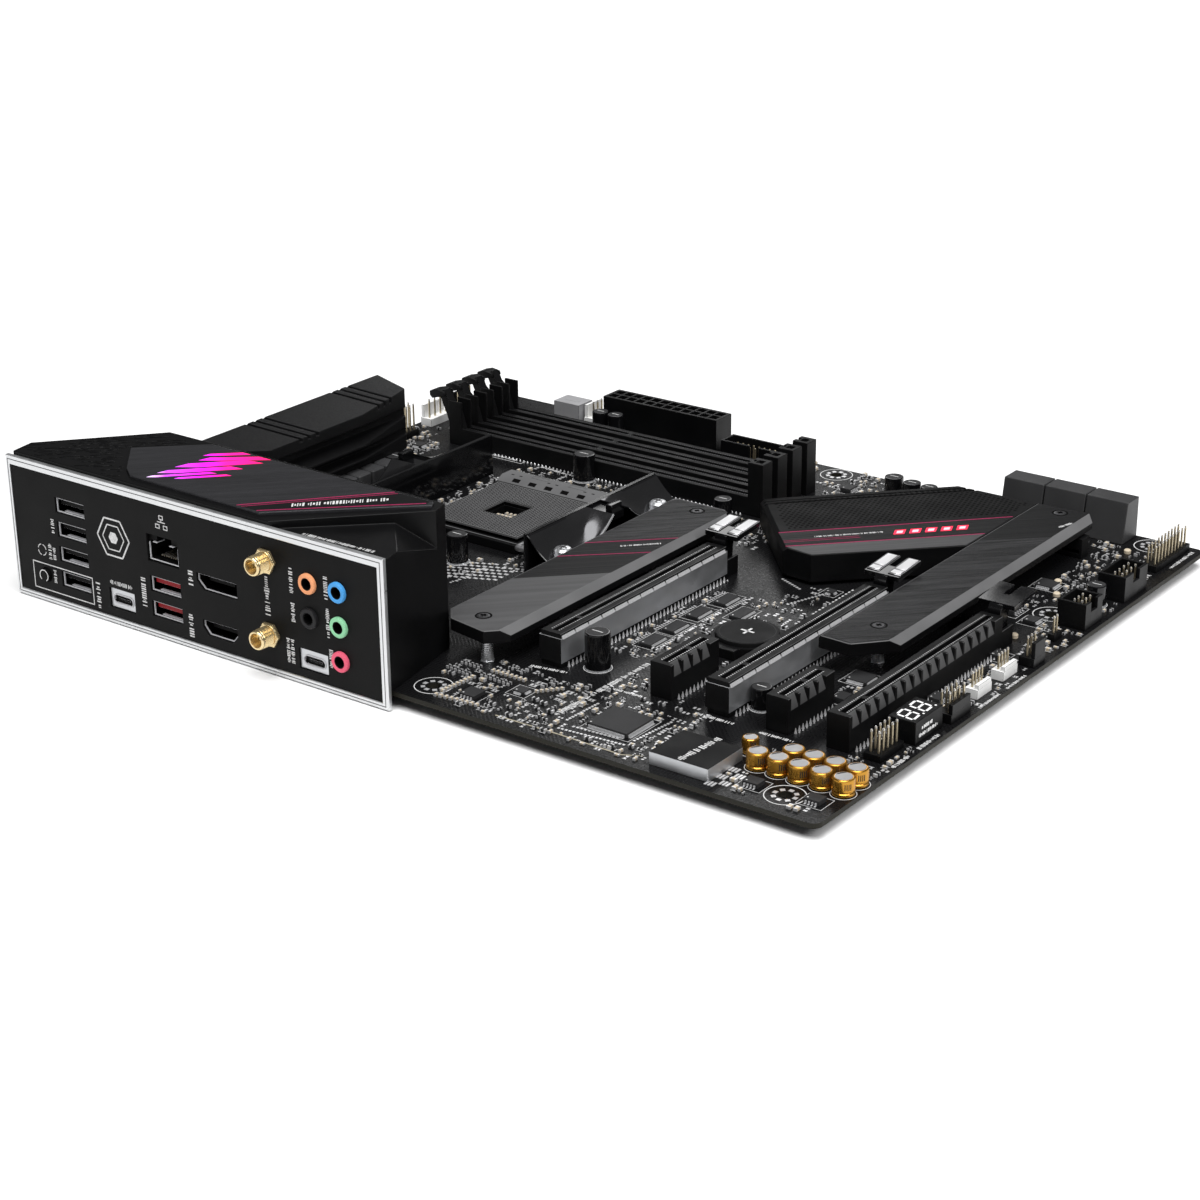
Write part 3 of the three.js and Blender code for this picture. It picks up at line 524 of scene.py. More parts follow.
def refine(node, *looks, bevel=0.2, segments=2, choose=None, smooth_angle=32):
    """Shows a CAD node as a copy with rounded edges. choose gives each face's look from its
    centre in board millimetres and its normal."""
    work = bmesh.new()
    work.from_mesh(frame["nodes"][node].data)
    bmesh.ops.remove_doubles(work, verts=work.verts, dist=2e-6)
    bmesh.ops.dissolve_limit(work, angle_limit=FLAT_ANGLE, verts=work.verts, edges=work.edges)
    if bevel:
        round_edges(work, bevel, segments)
    for face in work.faces:
        centre = (face.calc_center_median() - ORIGIN) / MM
        face.material_index = choose(centre, face.normal) if choose else 0
    mesh = bpy.data.meshes.new(node + "_body")
    for look in looks:
        mesh.materials.append(look)
    work.to_mesh(mesh)
    work.free()
    piece = show(mesh, node + "_body", BODY_OF[node], smooth_angle, (node,))
    return piece


def along(start, end, count):
    """count points spaced evenly from start to end."""
    return [start + (end - start) * index / (count - 1) for index in range(count)]


# ---- The CAD's own pieces ----

# Choosers: each gives the number of a face's look among the piece's looks.

def facing_up(centre, normal):
    return 1 if normal.z > 0.7 else 0


def flat_or_sloping(centre, normal):
    return 1 if normal.z > 0.99 else (2 if normal.z > 0.4 else 0)


def facing_sideways(centre, normal):
    return 1 if abs(normal.z) < 0.3 else 0


def not_an_end(centre, normal):
    return 0 if abs(normal.y) > 0.6 else 1


# Faces sloping outward and up take the second look, a painted highlight.
def outward_slope_highlit(centre, normal):
    return 1 if normal.x > 0.3 and normal.z > 0.2 else 0


def facing_rear(centre, normal):
    return 1 if normal.y < -0.5 and centre.y < 0 else 0


def refine_all():
    """Shows every CAD node that isn't rebuilt from nothing further on."""
    refine("circuit_board", SOLDER_MASK, BOARD_EDGE, bevel=0.12, choose=facing_sideways)
    refine("socket_backplate", DARK_METAL, bevel=0.3)
    refine("rear_port_plate", PLATE_BLACK, bevel=0.08, segments=1)
    refine("port_plate_rim", RIM_STEEL, bevel=0.25)
    for node in ("usb_stack", "network_usb_stack", "display_port", "tv_port"):
        refine(node, PORT_BLACK, bevel=0.08, segments=1)
    for node in ("type_c_port", "audio_type_c_port"):
        refine(node, PORT_BLACK, SHIELD, bevel=0.12, choose=facing_rear)
    refine("wireless_module", SHIELD, bevel=0.3)
    refine("audio_jack_block", PORT_BLACK, bevel=0.15)
    refine("flash_button", PORT_BLACK, bevel=0.3)
    refine("rear_port_cover", COVER_BLACK, bevel=0.45)
    refine("cover_inlay", INLAY_FILM, bevel=0.25)
    for node in ("vrm_heatsink_top", "vrm_heatsink_side"):
        refine(node, ANODISED, bevel=0.3)
    refine("chipset_heatsink", MOULDED_BLACK, MESH_BLACK, bevel=0.2, choose=facing_up)
    for node, top in (("m2_heatsink_upper", BRUSHED_LIGHT), ("m2_heatsink_lower", SATIN_BLACK)):
        refine(node, MOULDED_BLACK, top, CHAMFER, bevel=0.22, choose=flat_or_sloping)
    for node in ("m2_connector_upper", "m2_connector_lower"):
        refine(node, SLOT_BLACK, bevel=0.15)
    refine("socket_base", MOULDED_BLACK, bevel=0.2)
    refine("socket_lever", LEVER_STEEL, bevel=0)
    for number in (1, 2, 3, 4):
        refine(f"memory_slot_{number}", SLOT_BLACK, bevel=0.15)
        refine(f"memory_latch_{number}", SLOT_BLACK, bevel=0.25)
    for number in (1, 2, 3):
        refine(f"long_slot_{number}", SLOT_BLACK, SLOT_FACET_HIGHLIGHT, bevel=0.12, choose=outward_slope_highlit)
        refine(f"sata_stack_{number}", SATA_BLACK, bevel=0.35)
        refine(f"slot_latch_{number}", SHINY_BLACK, bevel=0.2)
    for number in (1, 2):
        refine(f"short_slot_{number}", SLOT_BLACK, SLOT_FACET_HIGHLIGHT, bevel=0.12, choose=outward_slope_highlit)
        refine(f"slot_shield_{number}", SLOT_BLACK, SHIELD, bevel=0.12, choose=not_an_end)
    for node in ("main_power_connector", "cpu_power_connector", "usb_header"):
        refine(node, MOULDED_BLACK, bevel=0.12)
    refine("audio_can", SHIELD, SOFT_BLACK, bevel=0.2, choose=facing_up)
    refine("code_display", MOULDED_BLACK, bevel=0.2)
    refine("cell_holder", MOULDED_BLACK, bevel=0.2)
    refine("coin_cell", SOFT_BLACK, bevel=0.3)


refine_all()


# ---- Planes that printed marks and fittings lie on ----

PLATE_FRONT = node_box("rear_port_plate")[0].y
COVER_HEIGHT = 44.7
COVER_SLOPE = 0.0775
STEP_HEIGHT = 42.2
STEP_SLOPE = 0.045
INLAY_PROUD = 0.9

# Local x, y and z run along the board's x, up the rear plate, and out of its front face.
ON_PLATE = Matrix(((1, 0, 0, 0), (0, 0, -1, PLATE_FRONT), (0, 1, 0, 0), (0, 0, 0, 1)))


def on_slope(slope, height):
    """A frame whose z is counted from a face that climbs along y, from this height at y = 0."""
    return Matrix(((1, 0, 0, 0), (0, 1, 0, 0), (0, slope, 1, height), (0, 0, 0, 1)))


# The rear cover's top face, its lower step beside the slots, and the front of the cam cover.
ON_COVER = on_slope(COVER_SLOPE, COVER_HEIGHT)
ON_STEP = on_slope(STEP_SLOPE, STEP_HEIGHT)
CAM_ENDS = (74.6, 118.2)
CAM_PROFILE = ((151.4, 3.2), (151.4, 5.0), (154.4, 6.5), (160.0, 6.5), (161.2, 5.4), (161.2, 3.2))
CAM_SLOPE = 0.5
ON_CAM_SLOPE = on_slope(CAM_SLOPE, CAM_PROFILE[1][1] - CAM_PROFILE[1][0] * CAM_SLOPE)

INK_DEPTH = 0.03
FINE_LINE = 0.14


def label(solids, start, end, height, seed, lift=0.0, slot=0):
    """A row of small ink bars of uneven widths, in place of a line of lettering."""
    rng = random.Random(seed)
    (ax, ay), (bx, by) = start, end
    length = math.hypot(bx - ax, by - ay)
    ux, uy = (bx - ax) / length, (by - ay) / length
    reach = 0.0
    while reach < length:
        width = height * rng.uniform(0.12, 0.3)
        tall = height * rng.choice((1, 1, 1, 0.75, 0.55))
        middle = (ax + ux * (reach + width / 2), ay + uy * (reach + width / 2))
        sideways = (-uy * tall / 2, ux * tall / 2)
        solids.strip((middle[0] - sideways[0], middle[1] - sideways[1]),
                     (middle[0] + sideways[0], middle[1] + sideways[1]),
                     width, lift, lift + INK_DEPTH, slot)
        reach += width + height * rng.choice((0.16, 0.16, 0.16, 0.45))


def outline_box(solids, x0, x1, y0, y1, width, z0, z1):
    """Four bars round a rectangle, inside its edge."""
    solids.box(x0, x1, y0, y0 + width, z0, z1)
    solids.box(x0, x1, y1 - width, y1, z0, z1)
    solids.box(x0, x0 + width, y0 + width, y1 - width, z0, z1)
    solids.box(x1 - width, x1, y0 + width, y1 - width, z0, z1)


def path_strip(solids, points, width, z0, z1, slot=0, closed=False):
    """Straight bars from point to point in plan."""
    following = points[1:] + points[:1] if closed else points[1:]
    for start, end in zip(points, following):
        solids.strip(start, end, width, z0, z1, slot)


def arc(centre, radius, start, end, steps=10):
    """Plan points along part of a circle, between two angles in degrees."""
    turns = [math.radians(turn) for turn in along(start, end, steps + 1)]
    return [(centre[0] + radius * math.cos(turn), centre[1] + radius * math.sin(turn))
            for turn in turns]


# ---- Rear ports ----

USB_WIDTH = 13.2
USB_LEFT = 17.3
USB_HEIGHTS = (4.7, 13.4, 22.0, 30.3)
NETWORK_LEFT = 59.0
NETWORK_USB_HEIGHTS = (4.4, 12.9)
NETWORK_PORT = (58.8, 72.2, 20.6, 29.6)
JACK_PLACES = {"orange": (127.3, 28.7), "black": (127.3, 17.5), "blue": (139.2, 28.7),
               "green": (139.2, 17.5), "pink": (139.2, 6.3)}
JACK_COLORS = {"orange": (0.85, 0.34, 0.16), "black": (0.014, 0.014, 0.015),
               "blue": (0.07, 0.33, 0.72), "green": (0.27, 0.62, 0.36), "pink": (0.82, 0.12, 0.2)}
# Inner and outer radius, and how far in and out of the plate's face.
JACK_RING = (1.85, 3.3, -0.6, 1.15)
ANTENNA_X = 110.4
ANTENNA_HEIGHTS = (8.1, 32.2)
DISPLAY_MOUTH = ((79.9, 21.3), (79.9, 18.6), (82.6, 16.0), (97.1, 16.0), (97.1, 21.3))
TV_MOUTH = ((81.2, 5.9), (81.2, 3.4), (83.4, 0.9), (94.0, 0.9), (96.2, 3.4), (96.2, 5.9))
FLASH_RING = 1.9
RING_SPAN = (-60, 230)
PORT_RECESS = 0.6
SHELL_DEPTH = 0.5
TYPE_C_CENTRES = ((45.2, 3.4), (127.8, 3.0))
TYPE_C_RECESS = 0.6


def make_port_linings():
    """The thin metal shells set back in the mouths of the ports, and the tongues inside them."""
    red = moulded("red_tongue", (0.3, 0.006, 0.012), 0.4)
    solids = Solids("port_linings", LINING, PORT_BLACK, red, PIN_METAL)
    solids.turn = ON_PLATE
    front = -PORT_RECESS
    back = front - SHELL_DEPTH
    ports = [(USB_LEFT, z, 1) for z in USB_HEIGHTS]
    ports += [(NETWORK_LEFT, z, 2) for z in NETWORK_USB_HEIGHTS]
    for x, z, tongue in ports:
        outline_box(solids, x + 0.1, x + USB_WIDTH - 0.1, z - 2.45, z + 2.45, 0.32, back, front)
        solids.box(x + 0.9, x + USB_WIDTH - 0.9, z + 0.1, z + 2.0, -12, -1.7, tongue)
        for pin in along(x + 3, x + USB_WIDTH - 3, 4):
            solids.box(pin - 0.5, pin + 0.5, z, z + 0.12, -11, -2.6, 3)
        solids.box(x + 3.0, x + USB_WIDTH - 1.2, z - 2.1, z - 1.8, -2.4, -1.2)
    x0, x1, z0, z1 = NETWORK_PORT
    middle = (x0 + x1) / 2
    for x in (x0 + 0.5, x1 - 0.5):
        solids.box(x - 0.12, x + 0.12, z0 + 0.6, z1 - 2.8, back, front)
    solids.box(x0 + 0.5, x1 - 0.5, z0 + 0.4, z0 + 0.62, back, front)
    for side in (-1, 1):
        tab = middle + side * 3.6
        solids.box(tab - 0.9, tab + 0.9, z1 - 2.6, z1 - 2.3, -4, front + 0.1)
    for pin in along(middle - 3.6, middle + 3.6, 8):
        solids.box(pin - 0.22, pin + 0.22, z0 + 1.2, z0 + 1.7, -12, -3, 3)
    for mouth in (DISPLAY_MOUTH, TV_MOUTH):
        centre_x = sum(x for x, z in mouth) / len(mouth)
        centre_z = sum(z for x, z in mouth) / len(mouth)
        inner = [(x + math.copysign(0.3, centre_x - x), z + math.copysign(0.3, centre_z - z))
                 for x, z in mouth]
        path_strip(solids, inner, 0.25, back, front, closed=True)
        left = min(x for x, z in mouth) + 2.6
        right = max(x for x, z in mouth) - 2.6
        level = max(z for x, z in mouth) - 2.1
        for pin in along(left + 0.6, right - 0.6, 10):
            solids.box(pin - 0.2, pin + 0.2, level + 0.6, level + 0.72, -11, -2.7, 3)
    for x, z in TYPE_C_CENTRES:
        oval = [*arc((x + 2.85, z), 1.6, -90, 90), *arc((x - 2.85, z), 1.6, 90, 270)]
        path_strip(solids, oval, 0.35, -4, 0.3 - TYPE_C_RECESS, closed=True)
        solids.prism(oval, -4, -1.2, 1)
        solids.box(*around(x, z, 2.6, 0.3), -3.9, -0.9, 1)
    solids.build(bevel=0.04)


def make_jack_rings():
    """The coloured rings round the mouths of the audio jacks."""
    for name, (x, z) in JACK_PLACES.items():
        look = moulded("jack_" + name, JACK_COLORS[name], 0.35, 0.3)
        solids = Solids("jack_ring_" + name, look)
        solids.turn = ON_PLATE
        solids.ring((x, z, 0), *JACK_RING, sides=32)
        solids.build(bevel=0.28)


def make_antenna_posts():
    """Threaded coaxial posts, each with a flange nut and an open mouth round its centre pin."""
    thread = [(3.2 if step % 2 else 2.9, 1.6 + step * 0.2) for step in range(20)]
    for number, z in enumerate(ANTENNA_HEIGHTS, 1):
        name = f"antenna_post_{number}"
        solids = Solids(name + "_body", GOLD)
        solids.turn = ON_PLATE
        place = (ANTENNA_X, z, 0)
        solids.drum(place, [(4.0, 0.05), (4.25, 0.2), (4.25, 1.1), (4.0, 1.3)], sides=6)
        solids.drum(place, [(3.6, 1.2), (3.6, 1.45), (3.4, 1.55)], sides=32)
        solids.drum(place, [(2.85, 0.1), *thread, (3.1, 5.6), (3.1, 6.2), (2.85, 6.6), (2.35, 6.6),
                            (2.3, 3.4)], sides=32)
        solids.drum(place, [(1.3, 2.35), (1.3, 2.9), (0.6, 3.0), (0.55, 4.6), (0.4, 4.75)],
                    sides=14)
        solids.build(bevel=0.05, shows=(name,))


def make_flash_ring():
    """The white ring printed most of the way round the face of the flash button."""
    low, high = node_box("flash_button")
    ring = Solids("flash_button_ring", INK, body=BODY_OF["flash_button"])
    ring.turn = ON_PLATE
    face = PLATE_FRONT - low.y
    centre = ((low.x + high.x) / 2, (low.z + high.z) / 2)
    path_strip(ring, arc(centre, FLASH_RING, *RING_SPAN, 24), 0.36, face, face + 0.04)
    ring.build()


def make_rim_groove():
    """A thin dark line on the face of the plate's sprung rim: painted shade standing for the groove
    rolled into it.
    """
    low, high = node_box("port_plate_rim")
    groove = Solids("rim_groove_painted_shade", DARK_METAL)
    groove.turn = ON_PLATE
    face = PLATE_FRONT - low.y
    outline_box(groove, low.x + 0.7, high.x - 1.1, low.z + 0.9, high.z - 1.2, 0.3,
                face - 0.02, face + 0.02)
    groove.build()


# Upright label rows on the port plate: x, lowest and highest z, and the height of the bars.
PLATE_LABELS = (
    (15.0, 20.0, 25.0, 1.6), (12.6, 10.4, 15.6, 1.5), (14.6, 10.6, 15.0, 1.3),
    (34.2, -1.6, 6.8, 2.0), (55.6, 4.2, 14.0, 2.0), (76.0, -1.4, 6.4, 2.0), (77.2, 16.4, 20.8, 2.0),
    (109.9, 14.2, 26.6, 2.1), (120.2, 24.0, 32.0, 1.6), (120.4, 14.6, 20.4, 1.6),
    (134.3, 25.2, 32.4, 1.6), (134.5, 12.8, 22.0, 1.6), (117.6, 0.6, 8.2, 1.4),
    (119.4, 0.6, 8.2, 1.4), (135.2, 3.2, 9.0, 1.6),
)
BADGE = (43.4, 24.6)
NETWORK_SIGN = (65.9, 34.6)


def make_plate_marks():
    """The port plate's white printing: frames, a network sign, a plain badge and label rows."""
    solids = Solids("port_plate_printing", INK)
    solids.turn = ON_PLATE
    outline_box(solids, 3.6, 31.9, -1.2, 8.3, 0.35, 0, INK_DEPTH)
    for start in (10, 100, 190, 280):
        path_strip(solids, arc((8.8, 12.9), 1.9, start, start + 66, 6), 0.3, 0, INK_DEPTH)
    for radius, width in ((7.2, 0.55), (4.8, 0.4)):
        path_strip(solids, circle(radius, 6, BADGE), width, 0, INK_DEPTH, closed=True)
    solids.prism(circle(2.1, 6, BADGE), 0, INK_DEPTH)
    x, z = NETWORK_SIGN
    for shift_x, shift_z in ((0, 1.7), (-1.7, -1.4), (1.7, -1.4)):
        outline_box(solids, *around(x + shift_x, z + shift_z, 0.95, 0.75), 0.3, 0, INK_DEPTH)
    solids.strip((x, z + 0.95), (x, z + 0.15), 0.3, 0, INK_DEPTH)
    solids.strip((x - 1.7, z + 0.15), (x + 1.7, z + 0.15), 0.3, 0, INK_DEPTH)
    for number, (x, z0, z1, height) in enumerate(PLATE_LABELS):
        label(solids, (x, z0), (x, z1), height, number)
    label(solids, (40.2, 9.0), (50.2, 9.0), 1.4, 40)
    label(solids, (14.0, 2.4), (14.0, 6.6), 1.4, 41)
    solids.build()


# ---- Rear cover ----

def inside(point, outline):
    """Whether a plan point lies inside a convex outline given anticlockwise."""
    return all((bx - ax) * (point[1] - ay) - (by - ay) * (point[0] - ax) > 0
               for (ax, ay), (bx, by) in zip(outline, outline[1:] + outline[:1]))


def off_streak(centre, forward, sideways):
    """The plan point this far forward along the streaks and sideways to them from a centre."""
    return (centre[0] + STREAK.x * forward - STREAK.y * sideways,
            centre[1] + STREAK.y * forward + STREAK.x * sideways)


RELIEF_PITCH = 0.95
RIDGE_WIDTH = 0.42
RIDGE_HEIGHT = 0.12
RIDGE_GAP = 0.7


def make_cover_relief():
    """Low ridges in broken lines over the cover's upper end, as on tooled plastic."""
    rng = random.Random(5)
    solids = Solids("cover_relief", COVER_BLACK)
    solids.turn = ON_COVER
    for row in range(-40, 60):
        reach = -40.0
        across = row * RELIEF_PITCH
        while reach < 80:
            length = rng.choice((1.6, 2.6, 4.2, 6.5))
            bend = rng.choice((0, 0, 0, 0.9, -0.9))
            ends = [off_streak((0, 0), reach, across),
                    off_streak((0, 0), reach + length, across + bend)]
            if rng.random() < 0.62 and all(in_relief(end) for end in ends):
                solids.strip(*ends, RIDGE_WIDTH, -0.1, RIDGE_HEIGHT)
            reach += length + RIDGE_GAP
    solids.build(bevel=0.05)


def in_relief(point):
    """Whether a plan point lies on the cover's upper end, clear of its edges and of the inlay."""
    x, y = point
    on_cover = -1.2 < x < 46 and -1.0 < y < min(34, 6.6 + x * 0.83)
    if y > 17.5:
        beside_inlay = y > 18.9 + (x - 32.5) * 0.702
    else:
        beside_inlay = y < 4.0 + (43.0 - x) * 1.136
    if 13 < y < 21:
        beside_inlay = x < 31.4
    return on_cover and beside_inlay


GLOW_CENTRE = (66.0, 21.0)
GLOW_REACH = 21.0
# Lit streaks: start and end along the streak direction, offset across it, and width.
STREAKS = (
    (-11, 7, -10.2, 1.2), (-20, 2, -7.6, 1.4), (-17, 10, -4.6, 2.6), (-12, 16, -0.6, 3.4),
    (-5, 20, 3.6, 2.8), (-4, 12, 7.2, 1.8),
)
STREAK_LIMIT = 32.2
# Magenta lines: start, end and width.
COVER_LINES = (((95.6, 0.9), (132.0, 32.2), 0.5), ((97.6, 0.9), (133.6, 31.9), 0.28),
               ((103.9, 0.9), (146.0, 30.4), 0.5))


def make_inlay_details():
    """The lit streaks, the thin magenta lines and the dark band across the glossy inlay."""
    top = INLAY_PROUD
    lines = Solids("cover_lines", MAGENTA, SHINY_BLACK, INK)
    lines.turn = ON_COVER
    lines.prism([(96.8, 0.9), (104.9, 0.8), (146.6, 30.1), (145.9, 32.2), (133.4, 32.2)],
                top, top + 0.02, 1)
    for start, end, width in COVER_LINES:
        lines.strip(start, end, width, top, top + 0.06)
    label(lines, (110.6, 9.2), (133.8, 27.0), 2.4, 17, top + 0.02, 2)
    lines.turn = ON_STEP
    label(lines, (122.5, 1.0), (150.0, 2.0), 1.5, 18, 0.0, 2)
    lines.build()
    middle = STREAK.dot((ORIGIN / MM).xy + Vector(GLOW_CENTRE))
    light = glowing("streak_light", 1.0, middle - GLOW_REACH, middle + GLOW_REACH)
    streaks = Solids("inlay_light", light)
    streaks.turn = ON_COVER
    for start, end, across, width in STREAKS:
        outline = [(start, across - width * 0.1), (start + width * 2.2, across - width / 2),
                   (end, across - width / 2), (end - width * 1.6, across + width / 2),
                   (start + width * 1.2, across + width / 2)]
        places = [off_streak(GLOW_CENTRE, *point) for point in outline]
        streaks.prism([(x, min(y, STREAK_LIMIT)) for x, y in places], top, top + 0.05)
    streaks.build()


# ---- Heatsink details ----

def add_cross(solids, x, y, arm, half, z0, z1):
    """Two crossed bars in the second look."""
    solids.box(*around(x, y, arm, half), z0, z1, 1)
    solids.box(*around(x, y, half, arm), z0, z1, 1)


def make_screw(solids, place, radius):
    """A countersunk screw head in a ring of painted shade for the recess round it, with the cross
    cut into it shown as two bars of painted shade.
    """
    x, y, z = place
    head = ((1, -0.6), (1, 0.02), (0.82, 0.16), (0.7, 0.18))
    solids.drum(place, [(radius * share, height) for share, height in head], 0, 24)
    solids.ring(place, radius, radius * 1.3, -0.4, 0.03, 1, 24)
    add_cross(solids, x, y, radius * 0.5, radius * 0.2, z + 0.1, z + 0.2)


HEATSINK_SCREWS = ((160.3, 38.6), (161.9, 151.0), (262.6, 101.6), (262.6, 219.4))
M2_TOP = 12.0
CHIPSET_TOP = 10.7
FILM = 0.02
LINE_PROUD = 0.05


def make_heatsink_details():
    """The screws of the two M.2 heatsinks, and the grooved and printed areas on their tops."""
    screws = Solids("heatsink_screws", DARK_METAL, HOLE_SHADE)
    for x, y in HEATSINK_SCREWS:
        make_screw(screws, (x, y, M2_TOP), 2.1)
    screws.build()
    art = Solids("heatsink_art", GROOVED_HIGHLIT, SATIN_BLACK, MAGENTA, INK)
    x0, x1, z = 148.7, 171.2, M2_TOP
    for rear, front in (((67.5, 89.2), (90.6, 110.4)), ((90.6, 110.4), (105.4, 126.6))):
        outline = [(x0, rear[0]), (x1, rear[1]), (x1, front[1]), (x0, front[0])]
        art.prism(outline, z, z + FILM, 1)
    art.prism([(x0, 105.4), (x1, 126.6), (x1, 155.4), (170, 156.6), (150.2, 156.7), (x0, 154.4)],
              z, z + FILM)
    for rear, front in ((90.8, 111.0), (105.4, 126.6)):
        art.strip((x0, rear), (x1, front), 0.42, z, z + LINE_PROUD, 2)
    label(art, (160.0, 109.8), (169.5, 119.4), 1.1, 23, z + FILM, 3)
    x0, x1 = 252.7, 270.9
    art.prism([(x0, 85.8), (262.6, 85.4), (x1, 95.2), (x1, 197.6), (x0, 180.8)], z, z + FILM)
    label(art, (268.6, 207.0), (270.3, 213.0), 1.2, 24, z, 3)
    art.build()


# The direction in which the chipset heatsink's lines, bars and dimples run.
DIAGONAL = (0.69, 0.72)
RED_BARS = 5
RED_BAR_PITCH = 5.4
RED_BAR = ((-2.2, 1.4), (-0.6, -2.4), (2.0, 0.2), (0.5, 4.1))
RED_BAR_MIDDLE = (0.02, 0.78)
RED_BAR_START = (226.2, 175.2)
# Magenta lines: start, end and width.
CHIPSET_LINES = (((193.7, 152.4), (249.8, 210.2), 0.5), ((202.3, 143.4), (249.8, 190.8), 0.5),
                 ((200.0, 146.0), (218.0, 164.4), 0.22), ((199.2, 146.9), (217.0, 165.2), 0.22))


def make_chipset_art():
    """The band, the magenta lines and the five lit bars across the chipset heatsink."""
    band = brushed("chipset_band", (0.07, 0.07, 0.072), 0.45, BRUSH_TURN, 0.004, 0.12, 20)
    art = Solids("chipset_art", band, SATIN_BLACK, MAGENTA, INK, RED_GLOW, RED_CORE)
    z = CHIPSET_TOP
    art.prism([(202.6, 143.2), (213.2, 142.0), (249.8, 178.4), (249.8, 190.6)], z, z + FILM)
    art.prism([(202.3, 143.5), (249.8, 190.9), (249.8, 209.9), (193.9, 152.3)], z, z + FILM, 1)
    for start, end, width in CHIPSET_LINES:
        art.strip(start, end, width, z, z + LINE_PROUD, 2)
    label(art, (205.4, 156.2), (221.4, 172.8), 1.1, 31, z + FILM, 3)
    for index in range(RED_BARS):
        x, y = [start + index * RED_BAR_PITCH * share
                for start, share in zip(RED_BAR_START, DIAGONAL)]
        art.prism([(x + a, y + b) for a, b in RED_BAR], z + FILM, z + 0.06, 4)
        core = [(a + (RED_BAR_MIDDLE[0] - a) * 0.45, b + (RED_BAR_MIDDLE[1] - b) * 0.45)
                for a, b in RED_BAR]
        art.prism([(x + a, y + b) for a, b in core], z + 0.05, z + 0.08, 5)
    art.build()


PERFORATION = (1.9, 1.55)
PERFORATION_ROWS = 60
PERFORATION_COLUMNS = 90
PERFORATION_START = (170, 142)
PERFORATION_SHIFT = 40
PERFORATED = [(176.0, 176.6), (194.6, 156.4), (247.8, 211.6), (247.8, 224.6), (221.6, 224.6)]
DIMPLE = ((0.55, 0.0), (0.55, 0.03))


def make_chipset_perforation():
    """Rows of small round dimples over the upper half of the chipset heatsink, each a flat black
    disc of painted shade.
    """
    dimples = Solids("chipset_dimple_shade", HOLE_SHADE)
    step_along, step_across = PERFORATION
    (x, y), (run_x, run_y) = PERFORATION_START, DIAGONAL
    for row in range(PERFORATION_ROWS):
        for column in range(PERFORATION_COLUMNS):
            forward = column * step_along + (row % 2) * step_along / 2
            across = row * step_across - PERFORATION_SHIFT
            point = (x + run_x * forward + run_y * across, y + run_y * forward - run_x * across)
            if inside(point, PERFORATED):
                dimples.drum((*point, CHIPSET_TOP), DIMPLE, sides=8)
    dimples.build()


def make_posts():
    """The ridged steel posts that hold up the rear ends of the two M.2 heatsinks."""
    ridges = [(1.95 if step % 2 else 1.8, 0.6 + step * 0.35) for step in range(19)]
    for node in ("m2_post_upper", "m2_post_lower"):
        low, high = node_box(node)
        place = (*middle_of(node), low.z)
        solids = Solids(node + "_body", BRIGHT)
        solids.drum(place, [(2.3, 0.0), (2.3, 0.35), (2.1, 0.5)], sides=6)
        solids.drum(place, [(1.95, 0.2), *ridges, (1.95, high.z - low.z)], sides=28)
        solids.build(bevel=0.03, shows=(node,))


CHOKE = 6.5
CHOKE_TOP = 6.2


def make_power_stage():
    """The rows of square chokes beside the two heatsinks of the power stages."""
    chokes = Solids("chokes", moulded("choke_grey", (0.05, 0.05, 0.052), 0.45, 0.4, 0.03))
    for y in along(72, 138, 10):
        chokes.box(27.4, 34.2, y, y + CHOKE, 0.1, CHOKE_TOP)
    for x in along(50, 122, 9):
        chokes.box(x, x + CHOKE, 52.5, 59.0, 0.1, CHOKE_TOP)
    chokes.build(bevel=0.5)


# ---- Processor socket ----

SOCKET_CENTRE = (96.1, 130.6)
PIN_PITCH = 1.0
PIN_HOLE = 0.43
PIN_DEPTH = 0.7
PIN_ROWS = 39
WINDOW_ROWS = 13


def make_pin_plate():
    """The sliding plate of the socket, with its square grid of open pin holes; the slab under the
    holes is black as painted shade.
    """
    low, high = node_box("socket_slide_plate")
    centre_x, centre_y = middle_of("socket_slide_plate")
    solids = Solids("socket_plate_body", SOCKET_GREY, HOLE_SHADE, body="socket_slide_plate")
    gap = WINDOW_ROWS * PIN_PITCH / 2 - 0.2
    seat = high.z - PIN_DEPTH
    # The second pass lays the black slab of painted shade under the pin holes.
    for half, top, slot in ((PIN_ROWS * PIN_PITCH / 2, high.z, 0), (gap, seat, 1)):
        x0, x1, y0, y1 = around(centre_x, centre_y, half)
        for plan in ((low.x, high.x, low.y, y0), (low.x, high.x, y1, high.y), (low.x, x0, y0, y1),
                     (x1, high.x, y0, y1)):
            solids.box(*plan, low.z, top, slot)
    for row in range(PIN_ROWS):
        for column in range(PIN_ROWS):
            x = centre_x + (column - (PIN_ROWS - 1) / 2) * PIN_PITCH
            y = centre_y + (row - (PIN_ROWS - 1) / 2) * PIN_PITCH
            if max(abs(x - centre_x), abs(y - centre_y)) > gap:
                add_pin_cell(solids, x, y, seat, high.z)
    piece = solids.build(smooth_angle=20, shows=("socket_slide_plate",))


